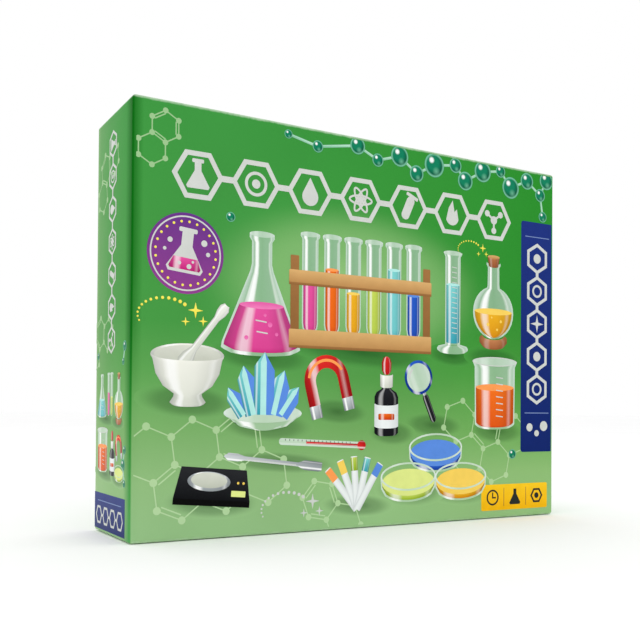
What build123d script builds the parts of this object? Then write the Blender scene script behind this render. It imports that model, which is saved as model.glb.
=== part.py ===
"""Chemistry set case: a telescoping board box that stands on its long side, with a moulded foam
insert that holds the laboratory ware of a beginner's set and a stitched manual behind it.

Millimetres: X to the right, Y into the case (the lid face looks along -Y), Z up.
The origin is the middle of the footprint that the case stands on.
"""

import math
import os

from build123d import *

# ---------------------------------------------------------------- driving dimensions: the case
CASE_WIDTH = 370.0
CASE_HEIGHT = 290.0
CASE_DEPTH = 80.0
LID_BOARD = 2.0  # greyboard of the lid, with its printed wrap
BASE_BOARD = 2.0
FOLD_RADIUS = 2.2  # outside of a wrapped board edge
LID_FIT = 0.8  # lid wall to base wall, each side
LID_REST = 0.5  # base rim to the inside of the lid
BACK_REVEAL = 1.0  # how far the base stands behind the lid's rim

# ---------------------------------------------------------------- foam insert
FOAM_FIT = 0.5  # foam to base wall, each side
FOAM_UNDER_LID = 1.5  # foam face to the inside of the lid
FOAM_EDGE = 3.0  # rounding of the foam block's upright corners
FOAM_BORDER = 9.0  # foam left outside the lower row of pockets
FOAM_LAND = 10.0  # foam between the two rows of pockets
FOAM_WEB = 9.0  # foam between a pocket and a core taken out of the back
FOAM_CORE_WALL = 8.0  # foam between two cores
FOAM_CUT = 1.0  # how far a cutter runs past the foam it cuts
SINK = 1.0  # ware lies this far below the foam face
SEAT = 0.3  # gap between ware and the foam that carries it
FINGER = 10.5  # free height above a cap, for pulling it off
HEAD_ROOM = 2.0  # free height above ware that is only lifted out
TROUGH_SIDE = 1.5  # room at the sides of a finger trough
PULL_END = 0.8  # room left above a cap or stopper that is pulled right up

# ---------------------------------------------------------------- manual
PAGE_WIDTH = 205.0
PAGE_HEIGHT = 270.0
PAGE_BLOCK = 4.2
COVER_SHEET = 0.3
STAPLE_WIRE = 0.6
STAPLE_WIDTH = 12.0

# ---------------------------------------------------------------- vials
VIAL_COUNT = 7
VIAL_RADIUS = 9.0
VIAL_LENGTH = 78.0
VIAL_PITCH = 26.5
VIAL_CAP_WALL = 1.1
VIAL_CAP_SKIRT = 9.0
VIAL_CAP_TOP = 1.6

# ---------------------------------------------------------------- test tubes and what closes them
TUBE_COUNT = 4
TUBE_RADIUS = 8.0
TUBE_LENGTH = 120.0
TUBE_WALL = 1.0
TUBE_LIP = 1.2
TUBE_LIP_HEIGHT = 2.0
TUBE_PITCH = 23.0
TUBE_HOLD = 4.0  # how far below its mouth a tube comes free of the foam
STOPPER_IN = 12.0
STOPPER_OUT = 10.0
STOPPER_TAPER = 0.085
STOPPER_BORE = 2.7
STOPPER_PULL = 13.0
PLUG_IN = 9.0
PLUG_HEAD = 8.0
PLUG_HEAD_RADIUS = 9.6
GLASS_FIT = 0.15  # stopper or plug to the glass

# ---------------------------------------------------------------- bent glass tube
BENT_RADIUS = 2.5
BENT_BORE = 1.5
BENT_LONG_LEG = 96.0
BENT_SHORT_LEG = 26.0
BENT_TURN = 105.0  # degrees that the tube turns through
BENT_BEND = 10.0
BENT_STEPS = 5  # straight chords that stand for the bend

# ---------------------------------------------------------------- beakers
BEAKER_COUNT = 2
BEAKER_FOOT = 23.5
BEAKER_MOUTH = 28.5
BEAKER_HEIGHT = 62.0
BEAKER_WALL = 1.2
BEAKER_LIP = 1.3
BEAKER_LIP_HEIGHT = 2.0
BEAKER_LID_WALL = 1.2
BEAKER_LID_SKIRT = 6.0
BEAKER_LID_RIM = 2.2
BEAKER_TAB = 5.0
BEAKER_TAB_WIDTH = 9.0
BEAKER_TAB_FIT = 0.5  # foam to the lid, all round
BEAKER_TAB_ROOM = 8.0  # how far the room for the tab reaches behind the lid's axis

# ---------------------------------------------------------------- dropper bottle
BOTTLE_RADIUS = 12.5
BOTTLE_BODY = 42.0
BOTTLE_WALL = 1.4
BOTTLE_NECK = 7.2
BOTTLE_NECK_HEIGHT = 10.0
BOTTLE_SHOULDER = 5.0
CAP_RADIUS = 9.5
CAP_HEIGHT = 19.0
CAP_WALL = 1.6
CAP_RIBS = 12

# ---------------------------------------------------------------- funnel
FUNNEL_MOUTH = 30.0
FUNNEL_CONE = 36.0
FUNNEL_STEM = 46.0
FUNNEL_NECK = 5.0
FUNNEL_WALL = 1.2
FUNNEL_RIM = 4.0
FUNNEL_SLANT = 35.0  # degrees by which the stem's end is cut off level

# ---------------------------------------------------------------- pipettes
PIPETTE_COUNT = 2
PIPETTE_LENGTH = 140.0
PIPETTE_TIP = 1.3
PIPETTE_TIP_LENGTH = 24.0
PIPETTE_STEM = 3.0
PIPETTE_BULB = 6.5
PIPETTE_BULB_LENGTH = 38.0
PIPETTE_PITCH = 19.0

# ---------------------------------------------------------------- brush
BRUSH_RADIUS = 9.0
BRUSH_HEAD = 66.0
BRUSH_TUFT = 9.0
BRUSH_LENGTH = 140.0
BRUSH_STEM = 1.6  # two wires twisted together
BRUSH_WIRE = 0.8
BRUSH_LOOP = 6.0

# ---------------------------------------------------------------- flat tools and the tube stand
SPOON_LENGTH = 108.0
SPOON_BOWL = 7.5
SPOON_SMALL_BOWL = 5.0
SPOON_DEPTH = 6.0
SPOON_WALL = 1.0
SPOON_HANDLE = 6.0
SPOON_THICK = 2.2
SPOON_FINGER = 11.5  # radius of the finger room round the handle
SPOON_LAND = 1.4  # foam between the spoon and the room above the beakers
OPENER_LENGTH = 66.0
OPENER_WIDTH = 14.0
OPENER_THICK = 1.5
OPENER_SLOT = 5.0
OPENER_FINGER = 9.0  # finger room at each side of the lever
OPENER_FINGER_DEPTH = 9.0
STAND_HOLES = 2  # holes in each direction of the test tube stand
STAND_FIT = 0.6
STAND_PITCH = 25.0
STAND_DEPTH = 45.0

# ---------------------------------------------------------------- planes and spaces that follow
FRONT = -CASE_DEPTH / 2
BACK = CASE_DEPTH / 2
BASE_HALF = CASE_WIDTH / 2 - LID_BOARD - LID_FIT
BASE_BOTTOM = LID_BOARD + LID_FIT
BASE_TOP = CASE_HEIGHT - BASE_BOTTOM
ROOM_HALF = BASE_HALF - BASE_BOARD
ROOM_BOTTOM = BASE_BOTTOM + BASE_BOARD
ROOM_TOP = BASE_TOP - BASE_BOARD
ROOM_BACK = BACK - BASE_BOARD

MANUAL_THICK = PAGE_BLOCK + 2 * COVER_SHEET
MANUAL_BACK = ROOM_BACK - SEAT
MANUAL_FRONT = MANUAL_BACK - MANUAL_THICK

FOAM_HALF = ROOM_HALF - FOAM_FIT
FOAM_BOTTOM = ROOM_BOTTOM + FOAM_FIT
FOAM_TOP = ROOM_TOP - FOAM_FIT
FOAM_FRONT = FRONT + LID_BOARD + FOAM_UNDER_LID
FOAM_BACK = MANUAL_FRONT - SEAT

VIAL_CAP_RADIUS = VIAL_RADIUS + GLASS_FIT + VIAL_CAP_WALL
VIAL_CLOSED = VIAL_LENGTH + VIAL_CAP_TOP
TUBE_STOPPERED = TUBE_LENGTH + STOPPER_OUT
BEAKER_LID_RADIUS = BEAKER_MOUTH + BEAKER_LIP + GLASS_FIT + BEAKER_LID_WALL
BOTTLE_TOP = BOTTLE_BODY + BOTTLE_SHOULDER + BOTTLE_NECK_HEIGHT
BOTTLE_HEIGHT = BOTTLE_BODY + BOTTLE_SHOULDER + CAP_HEIGHT
FUNNEL_HEIGHT = FUNNEL_STEM + FUNNEL_CONE + FUNNEL_RIM
STAND_RADIUS = TUBE_RADIUS + STAND_FIT

LOWER_ROW = FOAM_BOTTOM + FOAM_BORDER
LOWER_ROW_TOP = LOWER_ROW + SEAT + TUBE_STOPPERED + STOPPER_PULL + PULL_END
UPPER_ROW = LOWER_ROW_TOP + FOAM_LAND
UPPER_ROW_TOP = UPPER_ROW + SEAT + VIAL_CLOSED + FINGER
BEAKER_ROOM_TOP = UPPER_ROW + SEAT + BEAKER_HEIGHT + BEAKER_LID_WALL + FINGER


def spread(widths, half):
    """Middles of pockets of these widths, laid out from -half to half with equal foam between them."""
    gap = (2 * half - sum(widths)) / (len(widths) + 1)
    middles, edge = [], -half
    for width in widths:
        edge += gap
        middles.append(edge + width / 2)
        edge += width
    return middles


def row_of(middle, count, pitch):
    """Middles of count equal things around middle."""
    return [middle + (i - (count - 1) / 2) * pitch for i in range(count)]


LOWER_WIDTHS = {
    "tubes": (TUBE_COUNT - 1) * TUBE_PITCH + 2 * (TUBE_RADIUS + TUBE_LIP),
    "bent_tube": BENT_SHORT_LEG + BENT_BEND + 2 * BENT_RADIUS + 4,
    "funnel": 2 * FUNNEL_MOUTH,
    "brush": 2 * BRUSH_RADIUS,
    "pipettes": (PIPETTE_COUNT - 1) * PIPETTE_PITCH + 2 * PIPETTE_BULB,
    "bottle": 2 * BOTTLE_RADIUS,
}
LOWER = dict(zip(LOWER_WIDTHS, spread(list(LOWER_WIDTHS.values()), FOAM_HALF)))
UPPER_WIDTHS = {
    "vials": (VIAL_COUNT - 1) * VIAL_PITCH + 2 * VIAL_CAP_RADIUS,
    "beakers": 2 * BEAKER_COUNT * (BEAKER_LID_RADIUS + BEAKER_TAB / 2),
}
UPPER = dict(zip(UPPER_WIDTHS, spread(list(UPPER_WIDTHS.values()), FOAM_HALF)))
BEAKER_PITCH = 2 * BEAKER_LID_RADIUS + BEAKER_TAB

UPRIGHT = (Align.CENTER, Align.CENTER, Align.MIN)


# ---------------------------------------------------------------- small helpers
def block(x0, x1, y0, y1, z0, z1):
    """A box between two corners."""
    return Pos((x0 + x1) / 2, (y0 + y1) / 2, (z0 + z1) / 2) * Box(x1 - x0, y1 - y0, z1 - z0)


def rod(radius, low, high):
    """An upright cylinder on the Z axis between two heights."""
    return Pos(0, 0, low) * Cylinder(radius, high - low, align=UPRIGHT)


def turned(*pieces):
    """A solid turned about Z from the lines of its half section, given as X and Z."""
    return revolve(Plane.XZ * make_face(Curve() + list(pieces)), Axis.Z)


def outline(*points):
    """The half section of a turned solid whose lines are all straight."""
    return turned(Polyline(*points, close=True))


def channel(radius, low, high, reach):
    """A pocket for an upright rod: round behind its axis and open towards -Y as far as reach."""
    return rod(radius, low, high) + block(-radius, radius, -reach, 0, low, high)


def at(x, radius, z):
    """Where an upright piece of this radius stands in the foam, just below the foam face."""
    return Pos(x, FOAM_FRONT + SINK + radius, z + SEAT)


# ---------------------------------------------------------------- case
def board_box(half, bottom, top, front, back, board, open_front):
    """A box of folded board, open at its front or at its back, with rounded folds."""
    shell = block(-half, half, front, back, bottom, top)
    closed = shell.faces().sort_by(Axis.Y)[-1 if open_front else 0]
    corners = shell.edges().filter_by(Axis.Y)
    shell = fillet(list(corners) + list(closed.edges()), FOLD_RADIUS)
    inside = block(
        board - half,
        half - board,
        front - 1 if open_front else front + board,
        back - board if open_front else back + 1,
        bottom + board,
        top - board,
    )
    return shell - inside


def lid():
    return board_box(
        CASE_WIDTH / 2, 0, CASE_HEIGHT, FRONT, BACK - BACK_REVEAL, LID_BOARD, open_front=False
    )


def base_tray():
    rim = FRONT + LID_BOARD + LID_REST
    return board_box(BASE_HALF, BASE_BOTTOM, BASE_TOP, rim, BACK, BASE_BOARD, open_front=True)


# ---------------------------------------------------------------- manual
def booklet_section(thick, spine):
    """The section of a folded stack seen along its spine: square at the fore-edge, round at the fold."""
    right = PAGE_WIDTH / 2
    fold = -PAGE_WIDTH / 2 + spine
    lines = [
        Line((fold, -thick / 2), (right, -thick / 2)),
        Line((right, -thick / 2), (right, thick / 2)),
        Line((right, thick / 2), (fold, thick / 2)),
        ThreePointArc((fold, thick / 2), (fold - thick / 2, 0), (fold, -thick / 2)),
    ]
    return make_face(Curve() + lines)


def manual_place():
    return Pos(0, (MANUAL_FRONT + MANUAL_BACK) / 2, ROOM_BOTTOM + SEAT)


def staples():
    """Two wire staples through the fold, with their crowns on the back of the cover."""
    fold = -PAGE_WIDTH / 2
    wire = STAPLE_WIRE
    made = Part()
    for height in (PAGE_HEIGHT / 4, 3 * PAGE_HEIGHT / 4):
        low = height - STAPLE_WIDTH / 2
        crown = block(fold - wire, fold, -wire / 2, wire / 2, low, low + STAPLE_WIDTH)
        for leg in (low, low + STAPLE_WIDTH - wire):
            crown += block(fold - wire, fold + MANUAL_THICK / 2, -wire / 2, wire / 2, leg, leg + wire)
        made += crown
    return made


def manual():
    """The page block, the cover folded round it and the staples that hold both."""
    pages = extrude(booklet_section(PAGE_BLOCK, MANUAL_THICK / 2), PAGE_HEIGHT)
    whole = extrude(booklet_section(MANUAL_THICK, MANUAL_THICK / 2), PAGE_HEIGHT)
    cover = whole - extrude(booklet_section(PAGE_BLOCK, MANUAL_THICK / 2), PAGE_HEIGHT)
    stitches = staples()
    place = manual_place()
    return {
        "manual_pages": place * (pages - stitches),
        "manual_cover": place * (cover - stitches),
        "manual_staples": place * stitches,
    }


# ---------------------------------------------------------------- vials
def vial():
    """A vial full of its chemical, up to the mouth that the cap closes."""
    return rod(VIAL_RADIUS, 0, VIAL_LENGTH)


def vial_cap():
    """A snap cap whose skirt grips the outside of the tube."""
    bore = VIAL_RADIUS + GLASS_FIT
    low = VIAL_CAP_TOP - VIAL_CAP_SKIRT
    top = rod(VIAL_CAP_RADIUS, low, VIAL_CAP_TOP)
    return top - rod(bore, low - 1, 0)


# ---------------------------------------------------------------- test tubes
def test_tube():
    """A round-ended tube with a flat lip; its inside ends flat where the round end starts."""
    outside = rod(TUBE_RADIUS, TUBE_RADIUS, TUBE_LENGTH) + Pos(0, 0, TUBE_RADIUS) * Sphere(TUBE_RADIUS)
    lip = rod(TUBE_RADIUS + TUBE_LIP, TUBE_LENGTH - TUBE_LIP_HEIGHT, TUBE_LENGTH)
    return outside + lip - rod(TUBE_RADIUS - TUBE_WALL, TUBE_RADIUS, TUBE_LENGTH + 1)


def rubber_stopper():
    """A tapered stopper whose narrow end fits the mouth of a test tube, bored for a glass tube."""
    mouth = TUBE_RADIUS - TUBE_WALL - GLASS_FIT
    return outline(
        (STOPPER_BORE, -STOPPER_IN),
        (mouth - STOPPER_TAPER * STOPPER_IN, -STOPPER_IN),
        (mouth + STOPPER_TAPER * STOPPER_OUT, STOPPER_OUT),
        (STOPPER_BORE, STOPPER_OUT),
    )


def tube_plug():
    """A plug with a wide head, pushed into a test tube."""
    stem = rod(TUBE_RADIUS - TUBE_WALL - GLASS_FIT, -PLUG_IN, GLASS_FIT)
    return stem + rod(PLUG_HEAD_RADIUS, GLASS_FIT, PLUG_HEAD)


# ---------------------------------------------------------------- bent glass tube
def bent_path():
    """The tube's middle line in X and Z: up the long leg, round the bend and out along the short leg."""
    bend = BENT_LONG_LEG - BENT_BEND
    points = [(0, BENT_RADIUS)]
    for i in range(BENT_STEPS + 1):
        turn = math.radians(BENT_TURN * i / BENT_STEPS)
        points.append((BENT_BEND * (1 - math.cos(turn)), bend + BENT_BEND * math.sin(turn)))
    x, z = points[-1]
    points.append((x + BENT_SHORT_LEG * math.sin(turn), z + BENT_SHORT_LEG * math.cos(turn)))
    return Polyline(*points)


def bent_tube():
    ring = Circle(BENT_RADIUS) - Circle(BENT_BORE)
    return sweep(Pos(0, 0, BENT_RADIUS) * ring, path=Plane.XZ * bent_path(), transition=Transition.RIGHT)


def bent_pocket(reach):
    groove = trace(bent_path(), 2 * (BENT_RADIUS + 0.6))
    return Pos(0, BENT_RADIUS + SEAT, 0) * extrude(Plane.XZ * groove, reach)


# ---------------------------------------------------------------- beakers
def beaker():
    """A tapered beaker with a flat lip."""
    wall = BEAKER_WALL
    lip_low = BEAKER_HEIGHT - BEAKER_LIP_HEIGHT
    mouth = BEAKER_MOUTH + BEAKER_LIP
    return outline(
        (0, 0),
        (BEAKER_FOOT, 0),
        (BEAKER_MOUTH, lip_low),
        (mouth, lip_low),
        (mouth, BEAKER_HEIGHT),
        (BEAKER_MOUTH - wall, BEAKER_HEIGHT),
        (BEAKER_FOOT - wall, wall),
        (0, wall),
    )


def beaker_lid():
    """A snap lid with a raised rim and a tab to peel it off by."""
    bore = BEAKER_MOUTH + BEAKER_LIP + GLASS_FIT
    outer = BEAKER_LID_RADIUS
    top = BEAKER_LID_WALL
    made = outline(
        (0, 0),
        (bore, 0),
        (bore, top - BEAKER_LID_SKIRT),
        (outer, top - BEAKER_LID_SKIRT),
        (outer, 2 * top),
        (outer - BEAKER_LID_RIM, 2 * top),
        (outer - BEAKER_LID_RIM, top),
        (0, top),
    )
    tab = extrude(Pos(outer, 0) * Rectangle(2 * BEAKER_TAB, BEAKER_TAB_WIDTH), top)
    keep_out = rod(outer - BEAKER_LID_WALL / 2, -1, top + 1)
    return made + (tab - keep_out)


# ---------------------------------------------------------------- dropper bottle
def bottle():
    """A small bottle with a sloping shoulder; its dark wall hides what is in it."""
    body = outline(
        (0, 0),
        (BOTTLE_RADIUS, 0),
        (BOTTLE_RADIUS, BOTTLE_BODY),
        (BOTTLE_NECK, BOTTLE_BODY + BOTTLE_SHOULDER),
        (BOTTLE_NECK, BOTTLE_TOP),
        (0, BOTTLE_TOP),
    )
    return body - rod(BOTTLE_RADIUS - BOTTLE_WALL, BOTTLE_WALL, BOTTLE_BODY) - rod(
        BOTTLE_NECK - BOTTLE_WALL, BOTTLE_BODY - 1, BOTTLE_TOP + 1
    )


def dropper_plug():
    """The plug in the bottle's neck, with a drip spout on it."""
    fit = BOTTLE_NECK - BOTTLE_WALL - GLASS_FIT
    stem = rod(fit, BOTTLE_TOP - 8, BOTTLE_TOP) + rod(BOTTLE_NECK, BOTTLE_TOP, BOTTLE_TOP + 1)
    return stem + rod(2.2, BOTTLE_TOP + 1, BOTTLE_TOP + 5)


def bottle_cap():
    """A ribbed screw cap that stands on the bottle's shoulder."""
    low = BOTTLE_BODY + BOTTLE_SHOULDER + 0.2
    high = low + CAP_HEIGHT
    made = rod(CAP_RADIUS, low, high) - rod(CAP_RADIUS - CAP_WALL, low - 1, high - CAP_WALL)
    grooves = PolarLocations(CAP_RADIUS + 0.5, CAP_RIBS)
    cutter = Box(2.2, 1.8, CAP_HEIGHT - 2, align=UPRIGHT)
    return made - [place * Pos(0, 0, low - 1) * cutter for place in grooves]


# ---------------------------------------------------------------- funnel
def funnel():
    """A plain funnel: upright rim, cone, and a stem with three ribs and a slanting end."""
    wall = FUNNEL_WALL
    cone = FUNNEL_STEM + FUNNEL_CONE
    made = outline(
        (FUNNEL_NECK - wall, 0),
        (FUNNEL_NECK, 0),
        (FUNNEL_NECK, FUNNEL_STEM),
        (FUNNEL_MOUTH, cone),
        (FUNNEL_MOUTH, FUNNEL_HEIGHT),
        (FUNNEL_MOUTH - wall, FUNNEL_HEIGHT),
        (FUNNEL_MOUTH - wall, cone + wall / 3),
        (FUNNEL_NECK - wall, FUNNEL_STEM + wall / 3),
    )
    rib = block(FUNNEL_NECK - wall / 2, FUNNEL_NECK + 1.5, -0.6, 0.6, FUNNEL_STEM * 0.4, FUNNEL_STEM)
    under = (Align.CENTER, Align.CENTER, Align.MAX)
    end = Box(6 * FUNNEL_NECK, 4 * FUNNEL_NECK, 2 * FUNNEL_NECK, align=under)
    slant = Pos(FUNNEL_NECK, 0, 0) * Rot(0, FUNNEL_SLANT, 0) * end
    return made + [Rot(0, 0, angle) * rib for angle in (90, 210, 330)] - slant


def funnel_pocket(reach):
    wide = FUNNEL_MOUTH + SEAT
    slim = FUNNEL_NECK + 2.5
    cone = FUNNEL_STEM + FUNNEL_CONE
    side = [(slim, -SEAT), (slim, FUNNEL_STEM - 6), (wide, cone - 2), (wide, FUNNEL_HEIGHT + FINGER)]
    right = [*side, (0, side[-1][1]), (0, side[0][1])]
    both = side + [(-x, z) for x, z in reversed(side)]
    front = extrude(Plane.XZ * make_face(Polyline(*both, close=True)), reach)
    return outline(*right) + front


# ---------------------------------------------------------------- pipettes
def pipette():
    """A squeeze pipette: fine tip, stem and bulb, blown in one piece and closed all round."""
    bulb_low = PIPETTE_LENGTH - PIPETTE_BULB_LENGTH
    round_off = PIPETTE_BULB * 0.4
    return outline(
        (0, 0),
        (PIPETTE_TIP, 0),
        (PIPETTE_TIP, PIPETTE_TIP_LENGTH),
        (PIPETTE_STEM, PIPETTE_TIP_LENGTH + 6),
        (PIPETTE_STEM, bulb_low),
        (PIPETTE_BULB, bulb_low + 6),
        (PIPETTE_BULB, PIPETTE_LENGTH - round_off),
        (PIPETTE_BULB - round_off, PIPETTE_LENGTH),
        (0, PIPETTE_LENGTH),
    )


# ---------------------------------------------------------------- brush
def brush():
    """A twisted wire with a flat hanging ring, its bristle head and the tuft at its tip."""
    middle = BRUSH_LENGTH - BRUSH_LOOP
    stem = rod(BRUSH_STEM, BRUSH_TUFT / 2, middle - BRUSH_LOOP + BRUSH_WIRE)
    ring = Circle(BRUSH_LOOP) - Circle(BRUSH_LOOP - 2 * BRUSH_WIRE)
    loop = Pos(0, 0, middle) * extrude(Plane.XZ * ring, BRUSH_WIRE, both=True)
    hole = rod(BRUSH_STEM + 0.05, BRUSH_TUFT / 2 - 0.05, BRUSH_LENGTH)
    tuft = rod(BRUSH_RADIUS - 1.0, 0, BRUSH_TUFT)
    tuft = chamfer(tuft.edges().sort_by(Axis.Z)[0], 3.0)
    bristles = rod(BRUSH_RADIUS, BRUSH_TUFT, BRUSH_HEAD)
    return {"brush_wire": stem + loop, "brush_bristles": bristles - hole, "brush_tuft": tuft - hole}


# ---------------------------------------------------------------- flat tools
def spoon():
    """A double ended measuring spoon, lying along X with its cups open towards -Y."""
    made = Pos(0, SPOON_THICK / 2, 0) * Box(SPOON_LENGTH - 2 * SPOON_BOWL, SPOON_THICK, SPOON_HANDLE)
    cups = (
        (SPOON_BOWL - SPOON_LENGTH / 2, SPOON_BOWL),
        (SPOON_LENGTH / 2 - SPOON_SMALL_BOWL, SPOON_SMALL_BOWL),
    )
    for x, radius in cups:
        made += Pos(x, 0, 0) * extrude(Plane.XZ * Circle(radius), -SPOON_DEPTH)
    for x, radius in cups:
        made -= Pos(x, 0, 0) * extrude(Plane.XZ * Circle(radius - SPOON_WALL), SPOON_WALL - SPOON_DEPTH)
    return made


def spoon_pocket():
    half = SPOON_LENGTH / 2 - SPOON_BOWL
    groove = SlotCenterToCenter(2 * half, 2 * (SPOON_BOWL + 0.6))
    finger = Circle(SPOON_FINGER)
    front = extrude(Plane.XZ * groove, SINK + 1) + extrude(Plane.XZ * finger, SINK + 1)
    depth = SPOON_DEPTH + SEAT
    return front + extrude(Plane.XZ * groove, -depth) + extrude(Plane.XZ * finger, -depth)


def lid_opener():
    """A sheet metal lever with a slot that hooks under the edge of a vial cap."""
    plate = SlotOverall(OPENER_LENGTH, OPENER_WIDTH, rotation=90)
    hook = Pos(0, OPENER_LENGTH / 2 - OPENER_WIDTH / 2) * Circle(OPENER_SLOT / 2)
    mouth = Pos(0, OPENER_LENGTH / 2) * Rectangle(OPENER_SLOT, OPENER_WIDTH)
    return extrude(Plane.XZ * (plate - hook - mouth), -OPENER_THICK)


def opener_pocket():
    groove = SlotOverall(OPENER_LENGTH + 2 * SEAT + 0.6, OPENER_WIDTH + 1.2, rotation=90)
    finger = Circle(OPENER_WIDTH / 2 + OPENER_FINGER)
    flat = extrude(Plane.XZ * groove, SINK + 1) + extrude(Plane.XZ * groove, -OPENER_THICK - SEAT)
    room = extrude(Plane.XZ * finger, SINK + 1) + extrude(Plane.XZ * finger, -OPENER_FINGER_DEPTH)
    return flat + room


# ---------------------------------------------------------------- where the ware stands
VIAL_PLACES = [at(x, VIAL_CAP_RADIUS, UPPER_ROW) for x in row_of(UPPER["vials"], VIAL_COUNT, VIAL_PITCH)]
BEAKER_PLACES = [
    at(x - BEAKER_TAB / 2, BEAKER_LID_RADIUS, UPPER_ROW)
    for x in row_of(UPPER["beakers"], BEAKER_COUNT, BEAKER_PITCH)
]
TUBE_PLACES = [
    at(x, PLUG_HEAD_RADIUS, LOWER_ROW) for x in row_of(LOWER["tubes"], TUBE_COUNT, TUBE_PITCH)
]
PIPETTE_PLACES = [
    at(x, PIPETTE_BULB, LOWER_ROW) for x in row_of(LOWER["pipettes"], PIPETTE_COUNT, PIPETTE_PITCH)
]
FUNNEL_BOTTOM = LOWER_ROW_TOP - FUNNEL_HEIGHT - FINGER - SEAT
FUNNEL_PLACE = at(LOWER["funnel"], FUNNEL_MOUTH, FUNNEL_BOTTOM)
BRUSH_PLACE = at(LOWER["brush"], BRUSH_RADIUS, LOWER_ROW)
BOTTLE_PLACE = at(LOWER["bottle"], BOTTLE_RADIUS, LOWER_ROW)
BENT_PLACE = at(LOWER["bent_tube"] - LOWER_WIDTHS["bent_tube"] / 2 + 4, BENT_RADIUS, LOWER_ROW)
SPOON_PLACE = Pos(
    UPPER["beakers"], FOAM_FRONT + SINK, BEAKER_ROOM_TOP + SPOON_LAND + SPOON_BOWL
)
OPENER_PLACE = Pos(
    LOWER["bottle"], FOAM_FRONT + SINK, LOWER_ROW_TOP - OPENER_LENGTH / 2 - SEAT
)
STAND_SPACE = FUNNEL_BOTTOM - LOWER_ROW
STAND_MIDDLE = LOWER_ROW + STAND_SPACE / 2 - 3


# ---------------------------------------------------------------- foam insert
def stand_hole_places():
    offsets = row_of(0, STAND_HOLES, STAND_PITCH)
    return [
        Pos(LOWER["funnel"] + dx, FOAM_FRONT, STAND_MIDDLE + dz) for dx in offsets for dz in offsets
    ]


def depth_of(place):
    """How far a place in the foam lies behind a plane just in front of the foam face."""
    return place.position.Y - FOAM_FRONT + FOAM_CUT


def trough(places, half, low, high):
    """One finger trough across a row of equal pieces, from above the first to above the last."""
    first, last = places[0].position, places[-1].position
    return block(first.X - half, last.X + half, FOAM_FRONT - FOAM_CUT, first.Y + half, low, high)


def vial_pockets():
    cap_low = UPPER_ROW + VIAL_CLOSED - VIAL_CAP_SKIRT - 3 * FOAM_CUT
    made = [trough(VIAL_PLACES, VIAL_CAP_RADIUS + TROUGH_SIDE, cap_low, UPPER_ROW_TOP)]
    for place in VIAL_PLACES:
        made.append(place * channel(VIAL_RADIUS + SEAT, -SEAT, VIAL_LENGTH, depth_of(place)))
    return made


def beaker_pocket(reach):
    """A tapered seat with a wide head, which leaves room for the lid, its tab and a fingertip."""
    foot, mouth = BEAKER_FOOT + SEAT, BEAKER_MOUTH + SEAT
    low = BEAKER_HEIGHT - BEAKER_LID_SKIRT - FOAM_CUT
    high = BEAKER_HEIGHT + BEAKER_LID_WALL + FINGER
    round_seat = Pos(0, 0, -SEAT) * Cone(foot, mouth, BEAKER_HEIGHT, align=UPRIGHT)
    sides = ((-foot, -SEAT), (foot, -SEAT), (mouth, BEAKER_HEIGHT), (-mouth, BEAKER_HEIGHT))
    way_in = extrude(Plane.XZ * make_face(Polyline(*sides, close=True)), reach)
    head = channel(BEAKER_LID_RADIUS + BEAKER_TAB_FIT, low, high, reach)
    tab_room = block(0, BEAKER_LID_RADIUS + BEAKER_TAB + FOAM_CUT, -reach, BEAKER_TAB_ROOM, low, high)
    return [round_seat, way_in, head, tab_room]


def tube_pockets():
    low = LOWER_ROW + TUBE_LENGTH - TUBE_HOLD
    made = [trough(TUBE_PLACES, PLUG_HEAD_RADIUS + TROUGH_SIDE, low, LOWER_ROW_TOP)]
    for place in TUBE_PLACES:
        made.append(place * channel(TUBE_RADIUS + SEAT, -SEAT, TUBE_LENGTH, depth_of(place)))
    return made


def pipette_pocket(reach):
    """A slim channel for the stem and a wide one for the bulb."""
    bulb = PIPETTE_LENGTH - PIPETTE_BULB_LENGTH
    stem = channel(PIPETTE_STEM + FOAM_CUT, -SEAT, bulb + FOAM_CUT, reach)
    return [stem, channel(PIPETTE_BULB + SEAT, bulb, PIPETTE_LENGTH + HEAD_ROOM, reach)]


def stand_hole():
    """A blind hole that holds a test tube while the insert lies on its back."""
    mouth = extrude(Plane.XZ * Circle(STAND_RADIUS), FOAM_CUT)
    return mouth + extrude(Plane.XZ * Circle(STAND_RADIUS), -STAND_DEPTH)


def pockets():
    """Everything that is moulded into the front of the foam."""
    made = vial_pockets() + tube_pockets()
    for place in BEAKER_PLACES:
        made += [place * piece for piece in beaker_pocket(depth_of(place))]
    for place in PIPETTE_PLACES:
        made += [place * piece for piece in pipette_pocket(depth_of(place))]
    for place, radius, height in (
        (BRUSH_PLACE, BRUSH_RADIUS, BRUSH_LENGTH),
        (BOTTLE_PLACE, BOTTLE_RADIUS, BOTTLE_HEIGHT),
    ):
        made.append(place * channel(radius + SEAT, -SEAT, height + HEAD_ROOM, depth_of(place)))
    made.append(FUNNEL_PLACE * funnel_pocket(depth_of(FUNNEL_PLACE)))
    made.append(BENT_PLACE * bent_pocket(depth_of(BENT_PLACE) + BENT_RADIUS + SEAT))
    made += [SPOON_PLACE * spoon_pocket(), OPENER_PLACE * opener_pocket()]
    return made + [place * stand_hole() for place in stand_hole_places()]


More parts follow.
